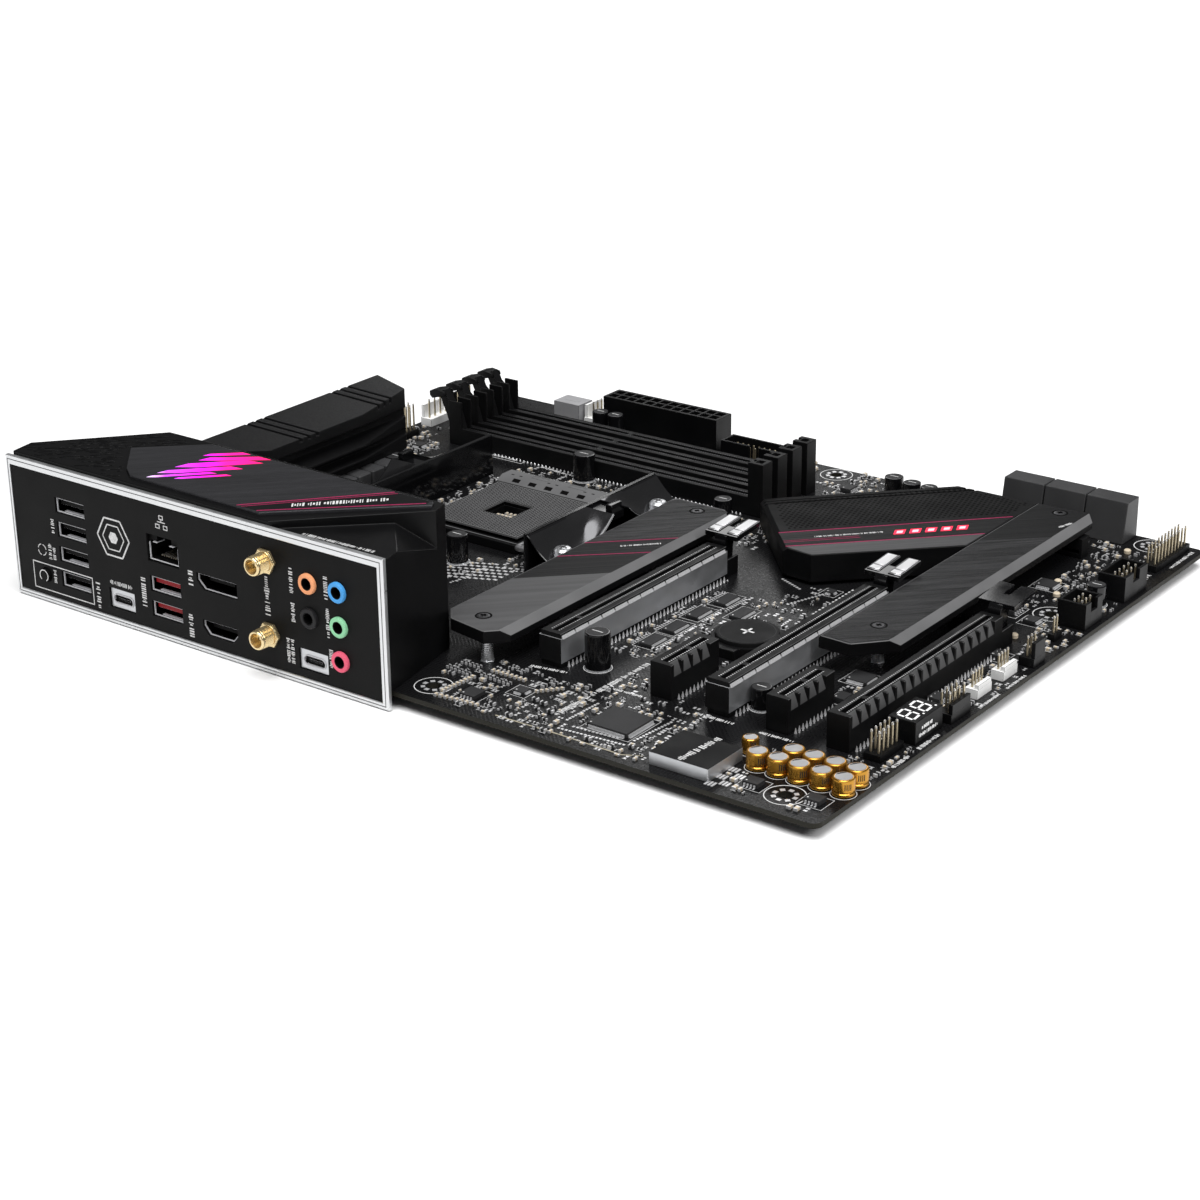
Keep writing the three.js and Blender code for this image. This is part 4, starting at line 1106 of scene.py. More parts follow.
def add_pin_cell(solids, x, y, z0, z1):
    """One square tile of the plate with a six-sided hole through it, whose wall is black as painted
    shade.
    """
    side = PIN_PITCH / 2
    square = [(x + side, y), (x + side, y + side), (x - side, y + side),
              (x - side, y), (x - side, y - side), (x + side, y - side)]
    hole = circle(PIN_HOLE, 6, (x, y))
    points = [(a, b, z) for z in (z0, z1) for a, b in (*square, *hole)]
    faces = []
    for i in range(6):
        j = (i + 1) % 6
        faces += [(12 + i, 12 + j, 18 + j, 18 + i), (18 + i, 18 + j, 6 + j, 6 + i),
                  (6 + i, 6 + j, j, i), (i, j, 12 + j, 12 + i)]
    solids.add(points, faces, [0, 1, 0, 0] * 6)


WINDOW_CORNER = (SOCKET_CENTRE[0] - 4.6, SOCKET_CENTRE[1] - 3.9)
WINDOW_PITCH = (1.75, 2.3)


def make_window_parts():
    """The small capacitors on the board inside the socket's middle window."""
    pads = Solids("socket_window_parts", CERAMIC, SOLDER)
    rng = random.Random(3)
    for row in range(4):
        for column in range(6):
            if (row, column) not in ((0, 5), (3, 0)):
                x = WINDOW_CORNER[0] + column * WINDOW_PITCH[0]
                y = WINDOW_CORNER[1] + row * WINDOW_PITCH[1] + rng.uniform(-0.1, 0.1)
                add_chip_capacitor(pads, x, y, 1.3, 0.85, 1.9, row % 2 == 0)
    pads.build(bevel=0.05)


CAM_WINDOWS = 5
CAM_WINDOW_START = 82.3
CAM_WINDOW_PITCH = 7.2
CAM_NOTCHES = (78.4, 82.0, 94.6, 98.2, 110.6, 114.2)
CAM_PANELS = (86.0, 102.4)


def make_cam_cover():
    """The grey cover over the socket's cam, with a row of windows along its sloping front and
    notches on its top, both flat black boxes of painted shade.
    """
    solids = Solids("socket_cam_cover_body", SOCKET_GREY, HOLE_SHADE)
    solids.add([(x, y, z) for x in CAM_ENDS for y, z in CAM_PROFILE], skin(2, len(CAM_PROFILE)))
    solids.turn = ON_CAM_SLOPE
    for index in range(CAM_WINDOWS):
        x = CAM_WINDOW_START + CAM_WINDOW_PITCH * index
        solids.box(x - 1.65, x + 1.65, 152.1, 153.8, -0.3, 0.03, 1)
    solids.turn = Matrix.Identity(4)
    top = CAM_PROFILE[2][1]
    for x in CAM_NOTCHES:
        solids.box(x - 0.7, x + 0.7, 155.6, 156.4, top - 0.1, top + 0.02, 1)
    for x in CAM_PANELS:
        outline_box(solids, x, x + 7.0, 156.8, 159.2, 0.25, top - 0.1, top + 0.12)
    piece = solids.build(bevel=0.14, shows=("socket_cam_cover",))


LIP_REACH = 1.6


def make_socket_frame():
    """The thin lighter lip of the socket's base that shows round the sliding plate."""
    low, high = node_box("socket_slide_plate")
    base = node_box("socket_base")[1]
    lip = Solids("socket_lip", SOCKET_GREY)
    outline_box(lip, low.x - LIP_REACH, high.x + LIP_REACH, low.y - LIP_REACH, high.y + LIP_REACH,
                0.5, base.z - 0.4, base.z + 0.03)
    lip.build(bevel=0.05)


BRACKET_WALL = (35.6, 37.4)
BRACKET_TOP = 15.0
BRACKET_REACH = 49.2
# The wall, and the clip's shelf and lug: start and end out from the socket's middle, half width
# along the wall, and heights.
BRACKET_BLOCKS = ((*BRACKET_WALL, 36.2, 0, BRACKET_TOP), (37.0, 47.2, 4.2, 11.2, 14.0),
                  (44.6, 47.2, 3.0, 13.5, 17.0))
BRACKET_SHEET = 0.7
SCOOP_POWER = 1.7
BOLT_SEAT = 6.6
BOLT_HEAD = ((4.0, -0.6), (4.0, 0.0), (3.2, 0.3), (3.1, 1.9), (2.5, 2.6), (1.2, 2.9))
# The scoop's lowest line: distance from the bracket's middle, and height.
SCOOP_LINE = (
    (4.0, 15.0), (8.0, 11.6), (12.0, 9.0), (16.0, 6.4), (20.0, 5.2), (23.5, 4.6), (27.0, 4.4),
    (30.0, 4.7), (32.4, 5.4), (36.2, 6.2),
)
SCOOP_STEPS = 12
BOLT_PLACE = (45.0, 27.0)
CRATER_RADIUS = 6.5


def scoop_height(distance, floor, offset):
    """The height of a bracket's scoop at this distance out from the socket's middle."""
    share = (distance - BRACKET_WALL[1]) / (BRACKET_REACH - BRACKET_WALL[1])
    height = floor + (BRACKET_TOP - floor) * (1 - share) ** SCOOP_POWER
    gap = math.hypot(distance - BOLT_PLACE[0], offset - BOLT_PLACE[1]) / CRATER_RADIUS
    return height - max(0.0, 1 - gap * gap)


def add_scoop(solids, side_x, side_y):
    """One curved wing of a cooler bracket, falling from its wall to the bolt and out to its rim,
    whose outer edge is bright steel as a painted highlight.
    """
    distances = along(BRACKET_WALL[1] - 0.8, BRACKET_REACH, SCOOP_STEPS)
    points = []
    for sheet in (0.0, BRACKET_SHEET):
        for offset, floor in SCOOP_LINE:
            for distance in distances:
                height = scoop_height(max(distance, BRACKET_WALL[1]), floor, offset) - sheet
                points.append((SOCKET_CENTRE[0] + side_x * distance,
                               SOCKET_CENTRE[1] + side_y * offset, height))
    rows, columns = len(SCOOP_LINE), SCOOP_STEPS
    lower = rows * columns
    faces = []
    for row in range(rows - 1):
        for column in range(columns - 1):
            corner = row * columns + column
            square = (corner, corner + 1, corner + columns + 1, corner + columns)
            faces += [square, tuple(lower + index for index in reversed(square))]
    around = [*range(columns), *(row * columns + columns - 1 for row in range(1, rows)),
              *range(lower - 2, lower - columns - 1, -1),
              *(row * columns for row in range(rows - 2, 0, -1))]
    edges = list(zip(around, around[1:] + around[:1]))
    # Edge faces along the outer rim take bright steel, a painted highlight; the other edges stay
    # black chrome.
    rim = [2 if min(a % columns, b % columns) == columns - 1 else 1 for a, b in edges]
    walls = [(a, b, lower + b, lower + a) for a, b in edges]
    solids.add(points, faces + walls, [1] * len(faces) + rim)


def make_cooler_brackets():
    """The two glossy brackets along the socket that a cooler clips and bolts to."""
    for name, side in (("cooler_bracket_top", -1), ("cooler_bracket_bottom", 1)):
        # The bright steel look paints a highlight along the scoops' outer rims.
        solids = Solids(name + "_body", SHINY_BLACK, BLACK_CHROME, BRIGHT)
        x, y = SOCKET_CENTRE
        for start, end, half, z0, z1 in BRACKET_BLOCKS:
            near, far = sorted((x + side * start, x + side * end))
            solids.box(near, far, y - half, y + half, z0, z1)
        for end in (-1, 1):
            add_scoop(solids, side, end)
            bolt = (x + side * BOLT_PLACE[0], y + end * BOLT_PLACE[1], 0)
            solids.drum(bolt, [(3.2, 0.0), (3.2, BOLT_SEAT - 1.0)])
        piece = solids.build(bevel=0.3, smooth_angle=45, shows=(name,))
    make_bracket_bolts()


def make_bracket_bolts():
    """The domed bolts in the brackets' four seats, each with the cross cut into its head shown as
    two dark bars of painted shade.
    """
    bolts = Solids("bracket_bolts", BRIGHT, DARK_METAL)
    for side_x in (-1, 1):
        for side_y in (-1, 1):
            x = SOCKET_CENTRE[0] + side_x * BOLT_PLACE[0]
            y = SOCKET_CENTRE[1] + side_y * BOLT_PLACE[1]
            bolts.drum((x, y, BOLT_SEAT), BOLT_HEAD, 0, 28)
            top = BOLT_SEAT + 2.8
            bolts.ring((x, y, BOLT_SEAT), 3.9, 4.3, -0.2, 0.25, 0, 32)
            # The cross is two dark bars of painted shade.
            add_cross(bolts, x, y, 1.5, 0.35, top - 0.1, top + 0.15)
    bolts.build()


# ---- Slots ----

LONG_SLOTS = ("long_slot_1", "long_slot_2", "long_slot_3")
SHORT_SLOTS = ("short_slot_1", "short_slot_2")
LEAD_CONE = ((0.5, 0.0), (0.34, 0.6), (0.08, 1.7))
OUTER_LEAD = ((0.3, 0.0), (0.1, 0.5))
MEMORY_LEAD = ((0.42, 0.0), (0.3, 0.4), (0.1, 0.7))
LEAD_PITCH = 2.0
MEMORY_SLOT_TOP = 6.8
LONG_SLOT_TOP = 11.2
LONG_GROOVE = 89
SHORT_GROOVE = 25


def make_contacts():
    """The contact fingers along both sides of every slot's groove, and the leads along its foot."""
    fingers = Solids("slot_contacts", SOLDER, DARK_METAL)
    leads = Solids("slot_leads", SOLDER)
    for number in (1, 2, 3, 4):
        low, high = node_box(f"memory_slot_{number}")
        y, top = (low.y + high.y) / 2, MEMORY_SLOT_TOP
        for x in along(34, 159, 126):
            for side in (-1, 1):
                middle = y + side * 1.15
                fingers.box(*around(x, middle, 0.2), top - 0.4, top + 0.03, 1)
        for x in along(36, 158, 72):
            leads.drum((x, low.y - 0.8, 0), MEMORY_LEAD, sides=6)
    for name in (*LONG_SLOTS, *SHORT_SLOTS):
        low, high = node_box(name)
        front = low.y + (LONG_GROOVE if name in LONG_SLOTS else SHORT_GROOVE)
        x, top = (low.x + high.x) / 2, LONG_SLOT_TOP
        for y in along(low.y + 2.6, front - 2.6, int(front - low.y - 5) + 1):
            for side in (-1, 1):
                middle = x + side * 1.35
                fingers.box(*around(middle, y, 0.22, 0.14), top - 0.4, top + 0.03)
        for y in along(low.y + 2.6, front - 2.6, int((front - low.y - 5) / LEAD_PITCH) + 1):
            leads.drum((x + 4.75, y, 0), LEAD_CONE, sides=6)
            leads.drum((x - 4.75, y, 0), LEAD_CONE, sides=6)
            leads.drum((x + 5.4, y + LEAD_PITCH / 2, 0), OUTER_LEAD, sides=6)
    fingers.build()
    leads.build()


DASH = 6.2
DASH_PITCH = 7.1


def make_shield_edges():
    """The folded tabs along the upper edges of the two slot shields, in bright solder metal instead
    of the shields' steel as a painted highlight.
    """
    tabs = Solids("shield_tabs_painted_highlight", SOLDER)
    for number in (1, 2):
        low, high = node_box(f"slot_shield_{number}")
        for start in along(low.y + 1.0, high.y - 1.0 - DASH, round((high.y - low.y) / DASH_PITCH)):
            for edge, inward in ((low.x, 1), (high.x, -1)):
                inner = edge + inward * 0.45
                corners = ((edge - inward * 0.12, high.z - 0.3), (inner, high.z - 0.3),
                           (inner, high.z + 0.75))
                points = [(x, y, z) for y in (start, start + DASH) for x, z in corners]
                tabs.add(points, skin(2, len(corners)))
    tabs.build()


# How far the plates' rear ends lie below the latch's top, and how far they climb to the front.
PLATE_DROP = 1.1
PLATE_RISE = 0.9
PLATE_SPAN = (1.6, 6.1)


def make_latch_plates():
    """The bright thumb plates, in dark frames, on the two shielded slots' latches."""
    polished = metal("polished_plate", (0.78, 0.78, 0.79), 0.34)
    for number in (1, 2):
        node = f"slot_latch_{number}"
        low, high = node_box(node)
        x = (low.x + high.x) / 2
        solids = Solids(node + "_plates", polished, DARK_METAL, body=node)
        near, far = low.y + 2.4, high.y
        slope = PLATE_RISE / (far - near)
        solids.turn = on_slope(slope, high.z - PLATE_DROP - near * slope)
        inner, outer = PLATE_SPAN
        for x0, x1 in ((x - outer, x - inner), (x + inner, x + outer)):
            solids.box(x0, x1, near, far, 0, 0.5, 1)
            for start, end in ((near + 0.5, near + 3.2), (near + 3.7, far - 0.5)):
                solids.box(x0 + 0.5, x1 - 0.5, start, end, 0.4, 0.6)
        solids.build(bevel=0.08)


# ---- Soldered parts ----

def add_turned_box(solids, x, y, run, half, lengthwise, z0, z1, slot):
    """A box with a run past a centre, along x where it is lengthwise and else along y."""
    start, end = run
    if lengthwise:
        solids.box(x + start, x + end, y - half, y + half, z0, z1, slot)
    else:
        solids.box(x - half, x + half, y + start, y + end, z0, z1, slot)


def add_chip_capacitor(solids, x, y, length, width, height, lengthwise, body=0):
    """A small two-terminal part: a body, and an end in the second look at each side of it."""
    end, half = length / 2, width / 2
    middle = (-end * 0.6, end * 0.6)
    add_turned_box(solids, x, y, middle, half * 0.94, lengthwise, 0.02, height, body)
    for run in ((-end, -end * 0.55), (end * 0.55, end)):
        add_turned_box(solids, x, y, run, half, lengthwise, 0.0, height * 1.04, 1)


# Chips: centre x and y, body size along x and y, height, and the leads on each pair of sides.
CHIPS = (
    (225.3, 20.5, 14.2, 13.4, 1.5, 26, 24), (277.8, 10.6, 5.0, 4.0, 1.5, 4, 0),
    (297.0, 11.5, 5.0, 4.0, 1.5, 4, 0), (265.4, 87.6, 7.0, 7.0, 1.0, 12, 12),
    (268.2, 72.1, 4.0, 5.0, 1.4, 0, 4), (177.7, 11.5, 5.5, 5.6, 1.3, 4, 0),
    (197.9, 74.9, 4.2, 8.8, 0.8, 0, 12), (197.5, 87.6, 4.2, 8.8, 0.8, 0, 12),
    (197.1, 101.2, 4.2, 8.8, 0.8, 0, 12), (198.2, 115.2, 4.2, 8.8, 0.8, 0, 12),
    (208.6, 108.6, 4.2, 8.8, 0.8, 0, 12), (188.0, 22.0, 4.0, 4.0, 0.9, 6, 6),
    (222.0, 140.0, 3.0, 3.0, 0.9, 3, 3), (276.6, 160.0, 5.2, 6.2, 1.6, 0, 4),
    (276.0, 186.0, 6.0, 6.0, 1.0, 8, 8), (262.0, 232.0, 6.0, 5.0, 1.4, 0, 4),
    (184.0, 212.0, 7.0, 7.0, 1.0, 12, 12), (176.0, 226.0, 4.0, 5.0, 1.4, 0, 4),
    (56.0, 226.0, 4.0, 5.0, 1.4, 0, 4), (18.0, 175.0, 4.0, 4.0, 1.0, 5, 5),
    (30.0, 55.0, 4.0, 4.0, 1.0, 5, 5), (119.5, 216.0, 5.0, 4.0, 1.4, 4, 0),
    (286.5, 62.0, 3.0, 4.0, 1.2, 0, 3), (217.0, 60.0, 3.0, 4.0, 1.2, 0, 3),
    (291.0, 88.0, 4.0, 5.0, 1.4, 0, 4), (290.6, 126.0, 4.0, 5.0, 1.4, 0, 4),
    (286.0, 156.3, 4.0, 4.6, 1.1, 0, 5),
)


def make_chips():
    """The moulded chips with their leads, and a printed dot at each one's first lead."""
    bodies = Solids("chips", CHIP_BLACK, INK)
    leads = Solids("chip_leads", SOLDER)
    for x, y, size_x, size_y, height, along_x, along_y in CHIPS:
        half_x, half_y = size_x / 2, size_y / 2
        bodies.box(*around(x, y, half_x, half_y), 0.08, height)
        corner = (x - half_x + 0.9, y - half_y + 0.9, height)
        bodies.drum(corner, ((0.3, 0), (0.3, INK_DEPTH)), 1, 8)
        reach = 1.0 if height > 0.95 else 0.7
        for count, half, other, turned in ((along_x, half_x, half_y, False),
                                           (along_y, half_y, half_x, True)):
            if count:
                add_leads(leads, (x, y), count, half, other, reach, height, turned)
    bodies.build(bevel=0.12)
    leads.build()


def add_leads(solids, centre, count, half, other, reach, height, turned):
    """The bent leads along two opposite sides of a chip: a flat foot and a shoulder each."""
    x, y = centre
    width = min(0.45, half / count) / 2
    for offset in along(-half + 0.9, half - 0.9, count):
        place = (x, y + offset) if turned else (x + offset, y)
        for side in (-1, 1):
            near, far = sorted((side * other, side * (other + reach)))
            middle = side * (other + 0.2)
            for run, z0, z1 in (((near, far), 0.0, 0.14),
                                ((middle - 0.22, middle + 0.22), 0.1, height * 0.6)):
                add_turned_box(solids, *place, run, width, turned, z0, z1, 0)


# Regions of small parts: x0, x1, y0, y1 and how many parts to try there.
CROWDS = (
    (159.5, 206, 3.5, 36, 520), (206, 244, 3.5, 34, 400), (188, 212, 62, 122, 320),
    (206, 246, 34, 60, 70), (252, 280, 68, 86, 110), (268, 300, 4, 14, 120),
    (262, 276, 10, 32, 110), (290, 303, 30, 56, 110), (289.5, 303, 74, 160, 240),
    (276, 303, 160, 205, 300), (254, 280, 226, 242, 110), (276, 300, 205, 242, 210),
    (170, 200, 180, 243, 380), (200, 230, 227, 243, 140), (2, 25, 165, 186, 200),
    (36, 60, 52, 66, 90), (60, 74, 98, 165, 260), (119.5, 130, 96, 168, 190),
    (96, 118, 60, 97, 100), (66, 120, 166, 183, 120), (152, 180, 158, 180, 140),
    (212, 250, 100, 141, 150), (276, 281, 96, 130, 50), (226, 250, 62, 76, 40),
    (40, 62, 200, 243, 140), (103, 124, 226, 243, 70), (2, 28, 186, 200, 80),
    (148, 176, 225, 243, 120),
)
OPEN_GAP = 0.3
PAD_HEIGHT = 0.15
# Length, width and height of the small parts.
PART_SIZES = ((1.0, 0.5, 0.5), (1.6, 0.8, 0.75), (1.6, 0.8, 0.5), (2.0, 1.2, 0.9))
CLEAR_ABOVE = ("circuit_board", "rear_port_cover", "chipset_heatsink")
LONG_SLOT_CENTRES = (183.6, 244.56, 285.2)
SLOT_LEAD_SPAN = (41, 132)


def taken_places():
    """The plan boxes that other pieces fill at board level."""
    boxes = []
    for node in frame["nodes"]:
        low, high = node_box(node)
        if -0.5 < low.z < 2.0 and node not in CLEAR_ABOVE:
            boxes.append((low.x - 0.6, high.x + 0.6, low.y - 0.6, high.y + 0.6))
    low, high = node_box("rear_port_plate")
    boxes.append((low.x, high.x + 2.5, low.y, 35.5))
    boxes += [around(x, y, 6.6) for x, y in MOUNT_HOLES]
    boxes += [around(x, y, size_x / 2 + 1.5, size_y / 2 + 1.5)
              for x, y, size_x, size_y, *_ in CHIPS]
    boxes += [around(x, y, radius + 0.5) for x, y, radius, _ in (*BLACK_CANS, *GOLD_CANS)]
    boxes += [(x0 - 0.5, x1 + 0.5, y0 - 0.5, y1 + 0.5) for x0, x1, y0, y1, *_ in HEADERS]
    boxes += [(x - 5.8, x + 5.8, *SLOT_LEAD_SPAN) for x in LONG_SLOT_CENTRES]
    return boxes


# The row nearest the board's top edge has its rear hole farther from the rear edge.
MOUNT_HOLES = tuple((x, y) for x in (6.35, 163.83, 288.29)
                    for y in (10.16 if x > 10 else 33.02, 165.1, 237.49))
BLACK_CANS = (
    (196, 49, 4.0, 12), (252.2, 53.4, 3.2, 7), (91.5, 181.0, 4.0, 10), (105.5, 92, 3.6, 10),
    (154.5, 177.6, 3.2, 7), (191.6, 231.2, 3.4, 7), (199.9, 229.5, 3.2, 7),
    (206.4, 230.3, 3.0, 6.5), (296, 180.5, 3.2, 7), (65.5, 226, 3.2, 9), (72.5, 226, 3.2, 9),
    (28.9, 148.8, 4.0, 6), (213.0, 231.5, 2.8, 6),
)
GOLD_CANS = (
    (266.0, 26.8, 2.5, 5.0), (280.2, 27.0, 3.3, 5.4), (286.9, 26.9, 3.3, 5.4),
    (293.8, 27.0, 3.3, 5.4), (300.7, 27.1, 3.3, 5.4), (272.8, 20.1, 3.3, 5.4),
    (279.6, 20.1, 3.3, 5.4), (286.5, 20.0, 3.3, 5.4), (293.6, 20.1, 3.3, 5.4),
    (300.7, 20.0, 3.3, 5.4),
)
# Headers: x0, x1, y0, y1, body height, kind, pins across and along, pin height.
HEADERS = (
    (298.0, 303.0, 75.0, 86.5, 6.0, "wall", 2, 4, 9.5),
    (296.4, 300.7, 94.4, 103.2, 4.4, "white", 1, 4, 8.0),
    (296.4, 300.7, 110.3, 119.1, 4.4, "white", 1, 4, 8.0),
    (298.4, 303.6, 124.0, 131.5, 8.0, "wall", 1, 3, 9.5),
    (296.9, 299.4, 145.5, 150.6, 2.4, "strip", 1, 2, 8.0),
    (293.4, 303.2, 158.5, 170.0, 8.8, "box", 2, 4, 8.2),
    (293.6, 303.2, 186.0, 202.0, 8.8, "box", 2, 5, 8.2),
    (295.0, 300.2, 215.5, 241.4, 2.4, "strip", 2, 10, 9.0),
    (293.8, 299.4, 41.6, 54.4, 2.2, "strip", 2, 5, 9.0),
    (4.4, 9.0, 178.0, 185.4, 2.2, "strip", 2, 3, 12.5),
    (2.2, 7.4, 194.6, 207.6, 8.0, "white", 1, 4, 10.5),
    (2.2, 7.4, 212.0, 222.4, 8.0, "wall", 1, 4, 10.5),
    (54.0, 60.0, 230.6, 241.6, 8.0, "white", 1, 4, 9.5),
    (41.0, 53.0, 228.6, 237.4, 8.0, "shell", 0, 0, 0),
)

# Straight rows of small parts: first and last centre, pitch, length, width, lengthwise, and look.
PART_ROWS = (
    ((168.8, 8.4), (169.9, 21.3), 1.6, 1.6, 0.9, True, 0),
    ((169.0, 5.1), (183.5, 6.4), 1.8, 1.6, 0.9, False, 0),
    ((159.0, 23.0), (167.5, 22.0), 1.7, 1.6, 0.9, False, 2),
    ((171.5, 24.0), (182.0, 23.5), 1.7, 1.6, 0.9, False, 2),
    ((192.0, 24.0), (197.0, 30.0), 1.5, 1.2, 0.8, True, 0),
    ((293.4, 4.6), (295.6, 4.6), 2.2, 2.0, 1.3, False, 0),
    ((172.0, 28.4), (184.0, 28.4), 1.7, 1.6, 0.8, False, 0),
    ((160.6, 28.0), (167.0, 28.0), 1.6, 1.6, 0.8, False, 2),
)
# Rows of bare pads: first and last centre and pitch.
PAD_ROWS = (
    ((212.4, 8.1), (234.1, 10.0), 1.3), ((215.3, 11.4), (230.1, 12.4), 1.3),
    ((216.0, 124.0), (221.6, 140.0), 1.4), ((203.0, 141.0), (212.0, 137.0), 1.4),
    ((235.0, 14.0), (236.5, 30.0), 1.3), ((211.0, 14.0), (211.6, 28.0), 1.3),
)
# Centres of the audio section's pads of three bars.
BAR_PADS = (
    (262.8, 14.8), (268.6, 14.9), (268.2, 9.4), (267.9, 4.1), (271.2, 6.4), (272.1, 12.2),
)
TAN_ROUNDS = ((277.9, 189.7), (282.6, 179.6), (284.4, 227.1), (287.5, 142.0))


def overlap(first, second):
    """Whether two plan boxes overlap."""
    return (first[0] < second[1] and first[1] > second[0]
            and first[2] < second[3] and first[3] > second[2])


def make_crowds():
    """The hundreds of small resistors, capacitors and bare pads, kept clear of everything else."""
    taken = taken_places()
    rng = random.Random(11)
    parts = Solids("small_parts", CERAMIC, SOLDER, CHIP_BLACK)
    marks = Solids("small_part_printing", INK)
    add_rows(parts, taken)
    for x0, x1, y0, y1, count in CROWDS:
        for _ in range(count):
            lengthwise = rng.random() < 0.5
            length, width, height = rng.choice(PART_SIZES)
            kind = rng.choice((0, 0, 2, 2, 3, 3))
            marked = rng.random() < 0.45
            x, y = rng.uniform(x0, x1), rng.uniform(y0, y1)
            spans = (length, width) if lengthwise else (width, length)
            spot = around(x, y, *(span / 2 + OPEN_GAP for span in spans))
            if any(overlap(spot, other) for other in taken):
                continue
            taken.append(spot)
            if kind == 3:
                add_pad_pair(parts, x, y, length, width, lengthwise)
            else:
                add_chip_capacitor(parts, x, y, length, width, height, lengthwise, kind)
            if marked:
                marks.box(*spot[:3], spot[2] + FINE_LINE, 0, INK_DEPTH)
                marks.box(*spot[:2], spot[3] - FINE_LINE, spot[3], 0, INK_DEPTH)
    parts.build()
    marks.build()


def spaced(start, end, pitch):
    """Plan points from start to end, as near to this pitch as fits."""
    count = round(math.dist(start, end) / pitch) + 1
    return zip(along(start[0], end[0], count), along(start[1], end[1], count))


def add_rows(solids, taken):
    """The straight rows of parts and pads, each added to the places taken."""
    for start, end, pitch, length, width, lengthwise, look in PART_ROWS:
        for x, y in spaced(start, end, pitch):
            add_chip_capacitor(solids, x, y, length, width, 0.8, lengthwise, look)
            taken.append(around(x, y, 1))
    for start, end, pitch in PAD_ROWS:
        for x, y in spaced(start, end, pitch):
            solids.box(*around(x, y, 0.4), 0, PAD_HEIGHT, 1)
            taken.append(around(x, y, 0.7))
    for x, y in BAR_PADS:
        for shift in (-1.1, 0, 1.1):
            solids.box(*around(x + shift, y, 0.35, 1.3), 0, PAD_HEIGHT, 1)
        taken.append(around(x, y, 1.8, 1.6))
    for x, y in TAN_ROUNDS:
        solids.drum((x, y, 0), [(1.2, 0), (1.2, 1.0), (0.9, 1.3)])
        taken.append(around(x, y, 1.6))


def add_pad_pair(solids, x, y, length, width, lengthwise):
    """Two bare tinned pads with no part on them."""
    for side in (-1, 1):
        run = (length * (side * 0.36 - 0.2), length * (side * 0.36 + 0.2))
        add_turned_box(solids, x, y, run, width / 2, lengthwise, 0.0, 0.06, 1)


PAD_CORNER = (101.5, 75.5)
# Columns of printed dashes by the chipset heatsink: x, and the first and last y.
DASH_COLUMNS = ((238.6, 112, 140), (236.4, 118, 138), (234.2, 108, 139), (231.4, 128, 150),
                (229.2, 131, 149), (226.6, 126, 146))
# Centres of the row of switch chips beside the first long slot.
SWITCH_CHIPS = ((197.9, 74.9), (197.5, 87.6), (197.1, 101.2), (198.2, 115.2))


def make_pad_grids():
    """Tinned pads beside the socket and the switch chips, and dashes by the chipset heatsink."""
    pads = Solids("pad_rows", SOLDER, INK)
    for row in range(6):
        for column in range(13):
            x = PAD_CORNER[0] + column * 2.05
            y = PAD_CORNER[1] + row * 2.9 + column * 0.9
            if x < 128 and y < 98:
                pads.box(*around(x, y, 0.75, 0.5), 0, 0.08)
    for x, y0, y1 in DASH_COLUMNS:
        for y in along(y0, y1, int((y1 - y0) / 1.7)):
            pads.box(*around(x, y, 0.3, 0.5), 0, INK_DEPTH, 1)
    for x, middle in SWITCH_CHIPS:
        for side in (-1, 1):
            for y in along(middle - 4.4, middle + 4.4, 8):
                pads.box(*around(x + side * 4.6, y, 0.5, 0.3), 0, 0.07)
    pads.build()


# The turns, in radians, of the four short bars printed down a gold can's side.
CAN_SEAM_START = -0.9
CAN_SEAM_STEP = 0.17


def make_cans():
    """The electrolytic capacitors: black ones with dark tops, and the audio section's gold ones."""
    black = Solids("black_capacitors", SHINY_BLACK, BRIGHT, CHIP_BLACK, INK)
    for x, y, radius, height in BLACK_CANS:
        body = ((0.95, 0), (1, 0.25), (1, height - 0.7), (0.96, height - 0.4), (0.88, height - 0.3))
        top = ((0.86, -0.5), (0.86, 0.0), (0.8, 0.06))
        black.drum((x, y, 0.3), [(radius * share, z) for share, z in body], 0, 32)
        black.drum((x, y, height), [(radius * share, z) for share, z in top], 2, 32)
        black.ring((x, y, 0), radius * 0.9, radius * 1.03, 0.0, 0.5, 1, 32)
        black.box(*around(x, y, radius * 0.5, 0.15), height + 0.05, height + 0.09, 3)
    black.build()
    gold = Solids("gold_capacitors", CAN_GOLD, CAN_TOP, CHIP_BLACK)
    for x, y, radius, height in GOLD_CANS:
        body = ((0.93, 0), (0.99, 0.2), (1, 0.9), (0.91, 1.2), (0.91, 1.35), (1, 1.7),
                (1, height - 0.8), (0.96, height - 0.4), (0.86, height - 0.2),
                (0.78, height - 0.25))
        top = ((0.76, -0.4), (0.76, -0.02), (0.7, 0.0))
        gold.drum((x, y, 0.15), [(radius * share, z) for share, z in body], 0, 36)
        gold.drum((x, y, height), [(radius * share, z) for share, z in top], 1, 36)
        stripe = [(x + a, y + b) for a, b in arc((0, 0), radius * 0.7, 100, 190, 8)]
        gold.prism(stripe, height - 0.1, height + 0.02, 2)
        for step in range(4):
            turn = CAN_SEAM_START + step * CAN_SEAM_STEP
            bar_x, bar_y = x + radius * math.cos(turn), y + radius * math.sin(turn)
            gold.box(*around(bar_x, bar_y, 0.1), 2.4, 4.2, 2)
    gold.build()


PIN_ROW_SPACING = 2.54
BOARD_MIDDLE = 152.4


